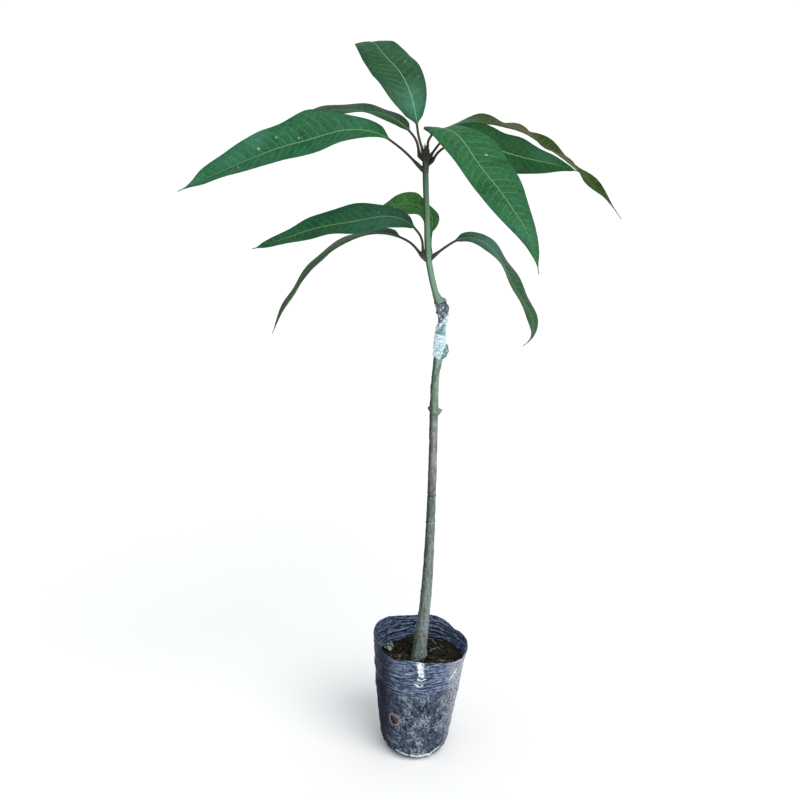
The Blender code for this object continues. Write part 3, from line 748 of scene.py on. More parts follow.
def make_shoot():
    """Green shoot with its faint ribs, leaf scars and the swelling under each whorl."""
    heights, angles, radius, base = stem_grid(SHOOT_FOOT, SHOOT_TOP + 0.001, rows=330, sides=56)
    relief = 0.00012 * np.cos(5.0 * angles + heights * 20.0)
    relief += 0.00012 * noise(base * (1.0, 1.0, 0.2), 0.003, 31)
    relief += bumps(
        angles, heights, radius, count=60, seed=33, low=0.575, high=0.715,
        width=0.0003, tall=0.0006, depth=0.00012)
    for ring in SHOOT_RINGS:
        relief += 0.00018 * bell(heights - ring, 0.0007)
    f = Finish("green_shoot", roughness=0.50, specular=0.08)
    tone = f.ramp(
        f.share(SCION_TOP, SHOOT_TOP),
        (0.00, (0.215, 0.390, 0.260)), (0.20, (0.205, 0.390, 0.250)), (0.45, (0.190, 0.360, 0.220)),
        (0.78, (0.125, 0.230, 0.155)), (0.88, (0.055, 0.100, 0.066)), (0.96, (0.040, 0.040, 0.032)))
    streak = f.noise(f.place(0.12), 0.0022, 3.0, 0.6)
    tone = f.mix(f.step(streak, 0.45, 0.70, 0.0, 0.6), tone, f.mix(0.6, tone, (0.200, 0.260, 0.170)))
    specks = f.step(f.cells(f.place(0.5), 0.0022), 0.08, 0.18, 0.6, 0.0)
    # The shoot's colour carries painted shade on its left side
    f.set("Base Color", f.mix(specks, paint_shade_left(f, tone), (0.230, 0.290, 0.190)))
    f.bump(f.noise(f.place(0.25), 0.0007, 2.0), 0.0001)
    rings = stem_rings(heights, angles, radius + relief)
    piece = loft("shoot_bark", rings, {"side": np.cos(angles) + 0.0 * heights})
    finish_piece(piece, f.material, "green_shoot", "scion_shoot")


# Grafting tape: its mark "single" is 1 where one clear layer lies over the wood, and more at a hem; under
# the strip its dark colour is also painted shade

def tape_finish():
    """Milky stretched film with painted highlights in its palest patches and painted shade along its fold
    lines, clearer and darker in a single layer.
    """
    f = Finish("grafting_tape", roughness=0.28, specular=0.5)
    patch = f.noise(f.place(2.2), 0.0032, 4.0, 0.65)
    # The palest end of this ramp is painted highlight
    colour = f.ramp(
        patch, (0.32, (0.200, 0.340, 0.390)), (0.45, (0.470, 0.720, 0.820)), (0.58, (0.840, 0.960, 1.000)))
    # Dark fold lines: painted shade
    fold_shade = f.step(f.noise(f.place(3.2), 0.0050, 3.0, 0.6), 0.44, 0.34, 0.0, 0.80)
    colour = f.mix(fold_shade, colour, (0.070, 0.110, 0.120))
    single = f.mix(f.step(patch, 0.40, 0.62), (0.055, 0.150, 0.150), (0.270, 0.470, 0.480))
    colour = f.mix(f.mark("single"), colour, single)
    hem = f.step(f.mark("single"), 1.1, 1.5, 0.0, 0.85)
    f.set("Base Color", f.mix(hem, colour, (0.050, 0.070, 0.085)))
    f.bump(f.noise(f.place(2.6), 0.0012, 2.0, 0.6), 0.0004)
    return f.material


def tape_rings(low, high, rows, thickness):
    """Rings of a wrinkled sleeve of tape between two edges, each a height at every angle."""
    angles = ring_angles(TAPE_SIDES)
    share = np.linspace(0.0, 1.0, rows)[:, None]
    heights = low + (high - low) * share
    radius = stem_radius(heights) + neck(angles, heights)
    across = angles * 0.006 + 0.0 * heights
    winding = (heights / TAPE_WINDING - angles / math.tau) % 1.0
    outer = radius + thickness + 0.0005 * (1.0 - winding)
    slanted = flat_place(0.25 * across + heights, 0.25 * across)
    outer = outer + 0.0005 * ridges(slanted, 0.0021, 41) ** 3
    outer = outer + 0.0004 * crumble(flat_place(across, heights), 0.0040, 3, 43)
    edge = np.clip(np.minimum(share, 1.0 - share) * rows / 4.0, 0.0, 1.0) ** 0.4
    outer = (radius - 0.0005) + (outer - radius + 0.0005) * edge
    return stem_centre(heights) + level_out(angles) * outer[..., None], heights


def make_tape(material):
    """Sleeve of tape wound round the union, with its overlaps and wrinkles."""
    angles = ring_angles(TAPE_SIDES)
    low = TAPE_LOW - 0.0026 * bell(apart(angles, -1.25), 0.9)
    high = TAPE_HIGH + 0.0018 * np.cos(angles - 2.6)
    rings, heights = tape_rings(low, high, rows=120, thickness=0.0008)
    piece = loft("tape_sleeve", rings, {"single": 0.0 * heights})
    finish_piece(piece, material, "grafting_tape", "graft_wrap")


def make_strip(material):
    """Upper end of the tape: a slanting bright strip over a single clear layer."""
    angles = ring_angles(TAPE_SIDES)
    high = STRIP_HIGH + 0.0075 * np.cos(angles)
    rings, heights = tape_rings(STRIP_LOW, high, rows=90, thickness=0.0004)
    below = high - heights
    rings = rings + (rings - stem_centre(heights)) * (0.07 * bell(below - 0.0030, 0.0026))[..., None]
    # Dark single layer under the strip's bulge, which also stands for painted shade there, weaker on the
    # sunlit right
    single = smooth_step((below - 0.0052) / 0.0012)
    single = single * (1.0 - 0.55 * smooth_step(np.cos(angles) * 1.6 - 0.3))
    finish_piece(loft("tape_strip", rings, {"single": single}), material, "grafting_tape")


def make_flap(material):
    """Loose end of the tape, a thin dark-hemmed strip folded out low on the sleeve."""
    share = np.linspace(0.0, 1.0, FLAP_STEPS)
    heights = FLAP_START - FLAP_DROP * share
    out = level_out(np.radians(-2.0 - 62.0 * share))
    swell = np.sin(math.pi * share) ** 0.6
    reach = stem_radius(heights) + 0.0018 + 0.0014 * swell + 0.0004 * np.sin(share * 19.0)
    path = stem_centre(heights) + out * reach[:, None]
    forward = unit(np.gradient(path, axis=0))
    across = out * 0.75 + np.cross(out, forward) * 0.66
    normal = np.cross(forward, across)
    columns = np.linspace(-1.0, 1.0, 15)
    width = 0.0024 * swell + 0.0003
    top = path[:, None] + across[:, None] * (width[:, None] * columns)[..., None]
    top = top + normal[:, None] * (FLAP_THICKNESS * (1.0 - 0.5 * columns ** 2))[None, :, None]
    rings = np.concatenate([top, top[:, ::-1] - normal[:, None] * FLAP_THICKNESS * 1.5], axis=1)
    hem = np.broadcast_to(np.concatenate([columns, columns[::-1]]) ** 2, rings.shape[:2])
    finish_piece(loft("tape_flap", rings, {"single": 0.75 + hem}), material, "grafting_tape")


# Leaves

def heading_vectors(heading, pitch):
    """Unit vectors from compass headings and slopes, in degrees."""
    turn = np.radians(heading)
    rise = np.radians(pitch)
    return np.stack([np.cos(rise) * np.cos(turn), np.cos(rise) * np.sin(turn), np.sin(rise)], axis=-1)


def leaf_path(leaf):
    """Centre line of a leaf and its frame: s runs -1 to 0 on the petiole, 0 to 1 on the blade."""
    s = np.concatenate([np.linspace(-1.0, 0.0, 60), np.linspace(0.0, 1.0, 241)[1:]])
    bend = smooth_step((s + 1.0 - 0.3) / 0.7)
    turn = smooth_step(s + 1.0)
    blade = s >= 0.0
    heading = leaf["attach"] + (leaf["heading"][0] - leaf["attach"]) * turn
    pitch = leaf["rise"] + (leaf["pitch"][0] - leaf["rise"]) * bend
    heading = np.where(blade, along(leaf["heading"], s), heading)
    pitch = np.where(blade, along(leaf["pitch"], s), pitch)
    roll = np.radians(np.where(blade, along(leaf["roll"], s), leaf["roll"][0] * turn))[:, None]
    forward = heading_vectors(heading, pitch)
    swell = PETIOLE_BASE_RADIUS * math.sin(math.radians(leaf["rise"]))
    reach = stem_radius(leaf["height"]) + 0.0006 + swell
    root = stem_centre(leaf["height"]) + reach * heading_vectors(leaf["attach"], 0.0)
    steps = np.diff(s) * np.where(s[1:] <= 0.0, leaf["petiole"], leaf["length"])
    middle = (forward[1:] + forward[:-1]) / 2.0
    centre = root + np.concatenate([np.zeros((1, 3)), np.cumsum(middle * steps[:, None], axis=0)])
    level = heading_vectors(heading - 90.0, 0.0 * pitch)
    upward = np.cross(level, forward)
    side = level * np.cos(roll) + upward * np.sin(roll)
    face = upward * np.cos(roll) - level * np.sin(roll)
    return s, centre, side, face


def half_width(leaf, s, q):
    """Width of one half of the blade at a share s of its length: right where q is over 0."""
    s = np.clip(s, 0.0, 1.0)
    base_power, tip_power = leaf["outline"]
    peak = base_power / (base_power + tip_power)
    full = peak ** base_power * (1.0 - peak) ** tip_power
    shape = s ** base_power * (1.0 - s) ** tip_power / full
    width = TIP_HALF_WIDTH + (leaf["width"] / 2.0 - TIP_HALF_WIDTH) * shape
    width = width * np.where(q > 0.0, along(leaf["right"], s), along(leaf["left"], s))
    narrowing = DRIP_WIDTH_SHARE + (1.0 - DRIP_WIDTH_SHARE) * smooth_step((1.0 - s) / leaf["drip"])
    return np.maximum(TIP_HALF_WIDTH, width * narrowing)


def petiole_section(s, q, layer):
    """Round section of the petiole, swollen at its base."""
    angle = np.radians(np.where(layer > 0, 90.0 - 75.0 * q, 270.0 + 75.0 * q))
    swollen = 1.0 - smooth_step((s + 1.0) / 0.35)
    stalk = PETIOLE_RADIUS + (PETIOLE_BASE_RADIUS - PETIOLE_RADIUS) * swollen
    stalk = stalk * (1.0 - 0.12 * smooth_step(s + 1.0))
    return stalk * np.cos(angle), stalk * np.sin(angle)


def blade_section(leaf, s, q, layer, width, flat, phase, seed):
    """How high the blade stands: V fold, arched halves, wavy margin, quilting between the veins."""
    reach = np.abs(q)
    fade = np.clip(s / WAVE_FADE_SHARE, 0.0, 1.0) * np.clip((1.0 - s) / WAVE_FADE_SHARE, 0.0, 1.0)
    lag = np.where(q < 0.0, WAVE_LAG, 0.0)
    ripple = leaf["wave"] * fade * reach ** 2 * np.sin(math.tau * WAVE_COUNT * s + lag)
    between = np.abs(np.sin(math.pi * phase)) ** 0.8
    open_blade = smooth_step(s / 0.12) * smooth_step((1.0 - s) / 0.08)
    quilt = 0.00042 * between * smooth_step(reach / 0.12) * (1.0 - 0.75 * reach) * open_blade
    arch = 0.16 * (reach - reach ** 2) * width
    sway = 0.0010 * noise(flat, 0.030, seed + 3) * fade
    rounded = np.sqrt(reach ** 2 + 0.03 ** 2) - 0.03
    up = rounded * width * math.sin(math.radians(leaf["fold"])) + ripple + arch + sway + quilt
    rib = bell(q * width, 0.0009 * (1.2 - 0.8 * s))
    thickness = BLADE_THICKNESS * (1.0 - 0.45 * reach ** 2)
    veins = bell(np.abs(((phase + 0.5) % 1.0) - 0.5), 0.07) * open_blade * (1.0 - reach ** 3)
    below = thickness + MIDRIB_DEPTH * rib * (1.05 - s) + 0.00025 * veins
    return up + np.where(layer > 0, 0.00022 * rib * (1.2 - s), -below)


def make_leaf(node, leaf, seed):
    """One leaf: a round petiole that opens into a veined, folded and wavy blade."""
    pairs = round(leaf["length"] / VEIN_PITCH)
    blade_rows = np.linspace(0.0, 1.0, pairs * VEIN_ROWS + 1)
    rows = np.concatenate([np.linspace(-1.0, 0.0, PETIOLE_ROWS)[:-1], blade_rows])[:, None]
    t = np.linspace(0.0, 1.0, HALF_COLUMNS + 1)
    half = t * (0.35 + 0.65 * t)
    top = np.concatenate([half[::-1], -half[1:]])
    q = np.concatenate([top, top[::-1]])[None, :]
    layer = np.repeat((1.0, -1.0), len(top))[None, :]
    reach = np.abs(q)

    # The rows follow the side veins, which slant forward to the margin
    lead = VEIN_SLANT * half_width(leaf, rows, q) / leaf["length"] * (0.7 * reach + 0.5 * reach ** 3)
    lead = lead * smooth_step(rows / BLADE_START) * smooth_step((1.0 - rows) / 0.08)
    s = np.clip(rows + lead, -1.0, 1.0)
    width = half_width(leaf, s, q)
    flat = np.stack([q * width, s * leaf["length"], 0.0 * s + seed], axis=-1)
    ragged = 0.035 * noise(flat * (0.0, 1.0, 1.0), 0.017, seed) * smooth_step(reach * 2.0 - 0.6)
    width = width * (1.0 + ragged)
    phase = rows * pairs + np.where(q < 0.0, 0.5, 0.0)

    # The petiole's section turns into the blade's
    share = smooth_step(s / BLADE_START)
    stalk_x, stalk_y = petiole_section(s, q, layer)
    up = blade_section(leaf, s, q, layer, width, flat, phase, seed)
    x = stalk_x * (1.0 - share) + q * width * math.cos(math.radians(leaf["fold"])) * share
    y = stalk_y * (1.0 - share) + up * share
    line = leaf_path(leaf)
    centre, side, face = (
        np.stack([np.interp(s, line[0], vectors[:, axis]) for axis in range(3)], axis=-1)
        for vectors in line[1:]
    )
    points = centre + side * x[..., None] + face * y[..., None]
    joint = stem_centre(leaf["height"] - JOINT_SINK)
    start = line[1][0]
    rings = [joint + (start - joint) * out + (points[:1] - start) * size for out, size in JOINT_STEPS]

    def down_joint(values):
        return np.concatenate([values[:1]] * len(JOINT_STEPS) + [values])

    marks = {
        "vein": phase,
        "rib": np.abs(q * width) * 1000.0,
        "across": q + 0.0 * s,
        "share": s,
        "under": np.where(layer > 0, 0.0, 1.0) + 0.0 * s,
        "flat": flat * (1.0, 1.0, 0.05),
    }
    marks = {name: down_joint(values) for name, values in marks.items()}
    piece = loft(node + "_skin", np.concatenate([*rings, points]), marks)
    finish_piece(piece, leaf_finish(node, leaf), "leaf_green", node)


def tint(colour, *scales):
    """A colour with its red, green and blue scaled, by one number or three."""
    scales = scales * 3 if len(scales) == 1 else scales
    return tuple(min(1.0, c * k) for c, k in zip(colour, scales))


def nearness(f, leaf, share, across, spot):
    """1 at a spot on the blade and 0 a spread away, in shares of the length."""
    s, q, spread, strength = spot
    squeeze = leaf["width"] / 2.0 / leaf["length"]
    dx = f.times(f.maths("SUBTRACT", across, q), squeeze)
    dy = f.maths("SUBTRACT", share, s)
    gap = f.maths("SQRT", f.maths("ADD", f.times(dx, dx), f.times(dy, dy)))
    return f.step(gap, 0.0, spread, strength, 0.0)


def leaf_green(f, leaf, flat, share, across, fine):
    """Mottled green of the upper side, with blue-green patches of painted sheen."""
    above = leaf["colours"][0]
    broad = f.noise(flat, 0.022, 2.0)
    grain = f.noise(flat, 0.0032, 4.0, 0.7)
    green = f.mix(f.step(broad, 0.50, 0.72, 0.0, 0.6), above, tint(above, 1.25, 1.12, 1.15))
    green = f.mix(f.step(broad, 0.52, 0.25, 0.0, 0.9), green, tint(above, 0.58))
    green = f.mix(f.step(grain, 0.51, 0.36, 0.0, 0.58), green, tint(above, 0.42))
    green = f.mix(f.step(grain, 0.52, 0.66, 0.0, 0.38), green, tint(above, 2.3, 1.7, 2.0))
    green = f.mix(f.step(fine, 0.40, 0.75, 0.0, 0.30), green, tint(above, 1.7, 1.4, 1.5))
    patchy = f.step(f.noise(flat, 0.0060, 3.0, 0.6), 0.35, 0.62, 0.55, 1.0)
    # Blue-green patches of painted sheen
    for spot in leaf["sheen_patches"]:
        sheen = f.times(nearness(f, leaf, share, across, spot), patchy)
        green = f.mix(sheen, green, SHEEN_COLOUR)
    return green


def leaf_finish(node, leaf):
    """Leathery leaf: pale midrib and side veins, mottled green, paler below, brown stalk."""
    above, below, stalk = leaf["colours"]
    f = Finish(node + "_finish", roughness=0.42, specular=0.09)
    flat = f.mark("flat", "Vector")
    across, share = f.mark("across"), f.mark("share")
    rim = f.maths("ABSOLUTE", across)
    fine = f.noise(flat, 0.0016, 3.0, 0.6)
    green = leaf_green(f, leaf, flat, share, across, fine)
    pale = f.mix(f.step(fine, 0.35, 0.75), below, tint(below, 1.3))
    blade = f.mix(f.mark("under"), green, pale)

    # Side veins and the net between them, fainter towards the margin
    off = f.gap(f.maths("FRACT", f.maths("ADD", f.mark("vein"), 0.5)), 0.5)
    line = f.step(off, 0.010, 0.065, 0.66, 0.0)
    halo = f.step(off, 0.02, 0.22, 0.12, 0.0)
    net = f.step(f.cells(flat, 0.0019, "DISTANCE_TO_EDGE"), 0.0, 0.10, 0.13, 0.0)
    strength = f.times(f.step(rim, 0.55, 0.95, 1.0, 0.15), f.step(share, 0.03, 0.12))
    patchy = f.times(strength, f.step(f.noise(flat, 0.010), 0.30, 0.62, 0.35, 1.0))
    for vein, amount in ((net, strength), (halo, patchy), (line, patchy)):
        blade = f.mix(f.times(vein, amount), blade, tint(above, 4.2, 2.2, 2.6))

    # Midrib, margin and specks
    thinner = f.maths("ADD", f.mark("rib"), f.times(share, 0.45))
    rib_line = f.times(f.step(thinner, 0.35, 0.85, 0.85, 0.0), f.step(share, 0.97, 0.75))
    blade = f.mix(rib_line, blade, MIDRIB_COLOUR)
    blade = f.mix(f.step(rim, 0.950, 0.995, 0.0, 0.50), blade, tint(above, 2.2, 1.3, 1.4))
    for s, q, radius in leaf["specks"]:
        spot = (s, q, SPECK_BLUR * radius / leaf["length"], 1.0)
        blade = f.mix(f.times(nearness(f, leaf, share, across, spot), 0.85), blade, SPECK_COLOUR)

    wood = f.mix(f.step(fine, 0.40, 0.65), stalk, tint(stalk, 0.55))
    f.set("Base Color", f.mix(f.step(share, 0.0, 0.035), wood, blade))
    f.set("Roughness", f.step(fine, 0.3, 0.7, 0.38, 0.50))
    relief = f.maths("ADD", f.times(net, 1.5), line)
    f.bump(f.maths("ADD", relief, f.times(fine, 0.5)), 0.00012)
    return f.material


def make_bud():
    """Terminal bud: dark overlapping scales between the petioles."""
    rng = np.random.default_rng(71)
    step = np.linspace(0.0, 1.0, 9)[:, None]
    angles = np.linspace(0.0, math.tau, 8, endpoint=False)[None, :]
    scales = []
    for number in range(11):
        turn = number * 2.4
        lean = 0.25 + 0.05 * number
        long = (0.0085 - 0.00035 * number) * rng.uniform(0.85, 1.05)
        wide = 0.0011 * rng.uniform(0.8, 1.2)
        out, aside = level_out(np.array([turn, turn + math.pi / 2.0]))
        middle = out * (0.0010 + lean * long * step ** 1.4 * 0.8) + UPWARD * (long * step - 0.0005)
        half = wide * (1.0 - step) ** 0.6 + 0.00008
        section = aside * (half * np.cos(angles))[..., None]
        section = section + out * (half * 0.45 * np.sin(angles))[..., None]
        scales.append(tube(stem_centre(SHOOT_TOP) + middle[:, None] + section))
    f = Finish("bud_scales", roughness=0.6, specular=0.4)
    tone = f.noise(f.place(0.3), 0.0016, 3.0)
    f.set("Base Color", f.ramp(tone, (0.30, (0.030, 0.022, 0.016)), (0.70, (0.110, 0.085, 0.060))))
    make_joined("bud_scales", scales, f.material, "bud_scales", "terminal_bud")


# Grow bag

def bag_radius(height):
    """Outer radius of the bag's wall."""
    return BAG_BASE_RADIUS + (BAG_RIM_RADIUS - BAG_BASE_RADIUS) * height / BAG_HEIGHT


def lean_bag(points):
    """Narrow the base across, lean the wall towards +X and let the rim drop on that side."""
    x, y, z = (points[..., axis] for axis in range(3))
    squeeze = BAG_BASE_SQUEEZE * (1.0 - z / BAG_HEIGHT)
    x = x * (1.0 - squeeze)
    y = y * (1.0 + squeeze)
    above_soil = np.maximum(0.0, z - SOIL_HEIGHT) / (BAG_HEIGHT - SOIL_HEIGHT)
    drop = BAG_RIM_DROP * above_soil * x / BAG_RIM_RADIUS
    return np.stack([x + BAG_RIM_SHIFT * z / BAG_HEIGHT, y, z - drop], axis=-1)


def bag_wall(top, corner_rows, wall_rows):
    """Profile of the bag from the axis to a height: radius, height and outward direction, as columns."""
    corner = BAG_CORNER_RADIUS
    centre = bag_radius(corner) - corner
    floor = np.linspace(0.0, centre, 14)[1:-1]
    turn = np.linspace(-math.pi / 2.0, 0.0, corner_rows)
    rise = np.linspace(corner, top, wall_rows + 1)[1:]
    parts = (
        (floor, centre + corner * np.cos(turn), bag_radius(rise)),
        (0.0 * floor, corner + corner * np.sin(turn), rise),
        (0.0 * floor, np.cos(turn), 0.0 * rise + 1.0),
        (0.0 * floor - 1.0, np.sin(turn), 0.0 * rise),
    )
    return [np.concatenate(part)[:, None] for part in parts]


def film_creases(circle, height):
    """Creases that run round the film over the soil and up to the rim: -1 to about 1."""
    total = 0.0 * height
    for number in range(CREASE_COUNT):
        wander = 0.0016 * noise(circle, 0.030, 60 + number) + 0.0006 * noise(circle, 0.008, 80 + number)
        line = height - (CREASE_START + CREASE_PITCH * number) - wander
        strength = np.clip(0.55 + 1.1 * noise(circle, 0.022, 100 + number), 0.0, 1.2)
        total = total + strength * (bell(line, 0.0008) - 0.8 * bell(line + 0.0016, 0.0009))
    return total


def film_relief(base, angles, height, circle):
    """How far the film stands in or out: dents over the soil, crinkles, folds at the foot."""
    upper = smooth_step((height - 0.090) / 0.012)
    crinkle = ridges(base * (1.0, 1.0, 0.8), 0.0090, 55) ** 4 + 0.7 * ridges(base, 0.0048, 56) ** 4
    crinkle = crinkle + 1.2 * noise(base, 0.0065, 58)
    relief = 0.0010 * noise(base, 0.045, 51) + 0.0006 * noise(base, 0.014, 52)
    relief += (1.0 - upper) * 0.0005 * crinkle
    relief += 0.0004 * upper * ridges(base * (0.6, 0.6, 1.6), 0.007, 57) ** 4
    foot = 1.0 - smooth_step((height - 0.006) / 0.026)
    relief += foot * 0.0011 * (ridges(circle, 0.009, 59) ** 3 - 1.0)
    left_foot = 1.0 - smooth_step((height - 0.004) / 0.040)
    relief -= 0.0034 * left_foot * bell(apart(angles, math.radians(205.0)), 0.75)
    for turn, width, depth in UPRIGHT_FOLDS:
        relief += depth * bell(apart(angles, turn), width) * upper
    return relief


def rim_lift(angles):
    """How far the rim rises or falls from its even line."""
    lift = 0.0010 * np.sin(2.0 * angles + 0.4) + 0.0007 * np.sin(5.0 * angles + 1.0)
    for turn, width, rise in RIM_WAVES:
        lift = lift + rise * bell(apart(angles, math.radians(turn)), math.radians(width))
    return lift


def glint_marks(points):
    """Strength of the glints at points on the front of the film."""
    x, y, z = (points[..., axis] for axis in range(3))
    total = 0.0 * x
    for start_x, start_z, end_x, end_z, width, strength in GLINTS:
        run = np.array([end_x - start_x, end_z - start_z])
        share = np.clip(((x - start_x) * run[0] + (z - start_z) * run[1]) / (run @ run), 0.0, 1.0)
        gap = np.hypot(x - start_x - share * run[0], z - start_z - share * run[1])
        total = np.maximum(total, strength * bell(gap, width))
    return total * (y < 0.0)


def make_bag():
    """Thin film bag: crinkled wall, creased and wavy rim, drainage holes."""
    angles = ring_angles(BAG_SIDES)
    circle = level_out(angles)
    radius, height, out, up = bag_wall(BAG_HEIGHT, corner_rows=16, wall_rows=148)
    base = circle * radius[..., None]
    base[..., 2] = height
    creases = film_creases(circle * 0.05, height)
    relief = film_relief(base, angles, height, circle * 0.05) + 0.0009 * creases
    relief = np.where(up < -0.7, np.minimum(relief, 0.0), relief)
    relief = relief * smooth_step((radius - 0.030) / 0.012)
    outer = base + relief[..., None] * (circle * out[..., None] + UPWARD * up[..., None])
    share = np.clip((height - SOIL_HEIGHT + 0.012) / (BAG_HEIGHT - SOIL_HEIGHT + 0.012), 0.0, 1.0)
    outer[..., 2] += rim_lift(angles) * share ** 1.2
    outer[..., 2] = np.maximum(outer[..., 2], 0.0)
    inner_rows = np.flatnonzero(height[:, 0] > SOIL_HEIGHT - 0.014)[::-1]
    rings = lean_bag(np.concatenate([outer, outer[inner_rows] - circle * FILM]))
    keep = np.ones((len(rings), BAG_SIDES), bool)
    hole_edge = open_holes(rings, keep, angles, height)
    bare = 0.0 * creases[inner_rows]
    marks = {
        "crease": np.concatenate([creases, creases[inner_rows]]),
        "glint": np.concatenate([glint_marks(rings[:len(outer)]), bare]),
        "hole_edge": np.concatenate([hole_edge, bare]),
    }
    piece = loft("bag_film", rings, marks, capped=(True, False), keep=keep)
    finish_piece(piece, film_finish(), "bag_film", "grow_bag")


def open_holes(rings, keep, angles, height):
    """Leave out the faces in each drainage hole, round its edge and tell how near that is."""
    rows = len(height)
    nearby = 0.0 * angles * height
    aside = level_out(angles + math.pi / 2.0)
    for azimuth in HOLE_AZIMUTHS:
        around = apart(angles, math.radians(azimuth)) * bag_radius(HOLE_HEIGHT)
        rise = height - HOLE_HEIGHT
        distance = np.hypot(around, rise)
        edge = HOLE_RADIUS * (1.0 + 0.05 * np.sin(3.0 * np.arctan2(rise, around)))
        inside = distance < edge
        face = inside & np.roll(inside, -1, 1)
        face = face[:-1] & face[1:]
        keep[:rows - 1][face] = False
        touched = [
            np.roll(np.pad(face, ((i, 1 - i), (0, 0))), j, 1) for i, j in product((0, 1), repeat=2)
        ]
        rim = np.any(touched, axis=0) & ~np.all(touched, axis=0)
        shift = np.where(rim, edge / np.maximum(distance, 1e-6) - 1.0, 0.0)
        rings[:rows] += aside * (around * shift)[..., None]
        rings[:rows, :, 2] += rise * shift
        nearby = np.maximum(nearby, bell(distance - edge - 0.0008, 0.0015))
    return nearby


def upper_film(f, fine):
    """Navy glossy film near the rim, with pale streaks and flecks of painted sheen, painted shade in its
    crease valleys and painted highlights on its crests.
    """
    crease = f.mark("crease")
    streaks = f.noise(f.place(4.5), 0.0075, 4.0, 0.65)
    # Pale streaks and flecks: painted sheen
    film = f.mix(f.step(streaks, 0.43, 0.66), (0.008, 0.017, 0.056), (0.185, 0.272, 0.430))
    film = f.mix(f.step(fine, 0.53, 0.68, 0.0, 0.60), film, (0.400, 0.510, 0.680))
    # Painted shade in the crease valleys, then painted highlights on the crests
    film = f.mix(f.step(crease, -0.02, -0.50, 0.0, 0.90), film, (0.006, 0.009, 0.024))
    return f.mix(f.step(crease, 0.30, 0.95, 0.0, 0.70), film, (0.300, 0.400, 0.560))


def lower_film(f, fine):
    """Dusty scuffed film over the soil, mottled navy and grey."""
    broad = f.noise(f.place(0.8), 0.015, 3.0, 0.6)
    middle = f.noise(f.place(0.8), 0.0046, 4.0, 0.68)
    film = f.mix(f.step(middle, 0.38, 0.60), (0.004, 0.007, 0.016), (0.050, 0.078, 0.125))
    dust = f.times(f.step(broad, 0.47, 0.60, 0.04, 1.0), f.step(fine, 0.42, 0.58))
    film = f.mix(f.times(dust, 0.85), film, (0.320, 0.370, 0.450))
    grain = f.noise(f.place(0.8), 0.0021, 3.0, 0.6)
    film = f.mix(f.step(grain, 0.47, 0.36, 0.0, 0.60), film, (0.004, 0.006, 0.014))
    return f.mix(f.step(grain, 0.57, 0.70, 0.0, 0.65), film, (0.400, 0.450, 0.530))


def film_finish():
    """Black polythene film: navy gloss with painted sheen near the rim, grey dust lower down, painted
    shade on the front left, and on the front right grey dust that also stands for painted light.
    """
    f = Finish("bag_film", roughness=0.35, specular=0.35)
    fine = f.noise(f.place(), 0.0027, 4.0, 0.7)
    upper = f.step(f.axis("Z"), 0.088, 0.102)
    film = f.mix(upper, lower_film(f, fine), upper_film(f, fine))
    front = f.step(f.axis("Y"), 0.010, -0.010)
    # Painted shade on the front left of the film, away from the sun
    left = f.times(f.step(f.axis("X"), -0.016, -0.037, 0.0, 0.92), front)
    film = f.mix(left, film, (0.013, 0.013, 0.028))
    # Paler front right: grey dust, and painted light on the sun's side
    right = f.times(f.step(f.axis("X"), 0.032, 0.052, 0.0, 0.85), front)
    film = f.mix(f.times(right, f.step(fine, 0.40, 0.58, 0.10, 1.0)), film, (0.500, 0.500, 0.560))
    film = f.mix(f.times(f.mark("hole_edge"), 0.55), film, (0.300, 0.290, 0.350))
    ragged = f.step(f.noise(f.place(2.0), 0.0036, 4.0, 0.7), 0.37, 0.55, 0.30, 1.20)
    glint = f.step(f.times(f.mark("glint"), ragged), 0.25, 0.85)
    f.set("Base Color", f.mix(glint, film, (0.830, 0.900, 0.960)))
    f.set("Roughness", f.step(upper, 0.0, 1.0, 0.55, 0.30))
    shine = f.times(f.step(upper, 0.0, 1.0, 0.16, 0.34), f.maths("SUBTRACT", 1.0, left))
    f.set("Specular IOR Level", shine)
    f.bump(f.noise(f.place(1.4), 0.0045, 4.0, 0.65), 0.0014)
    return f.material


# Soil

def soil_height(x, y):
    """Height of the crumbly soil surface."""
    place = flat_place(x, y)
    edge = np.hypot(x - SOIL_CENTRE, y) / SOIL_REACH
    rise = SOIL_HEIGHT - SOIL_EDGE_DROP * smooth_step((edge - 0.3) / 0.7) - 0.0005
    for seed, (depth, size) in enumerate(SOIL_LUMPS, 90):
        rise = rise + depth * noise(place, size, seed)
    return rise


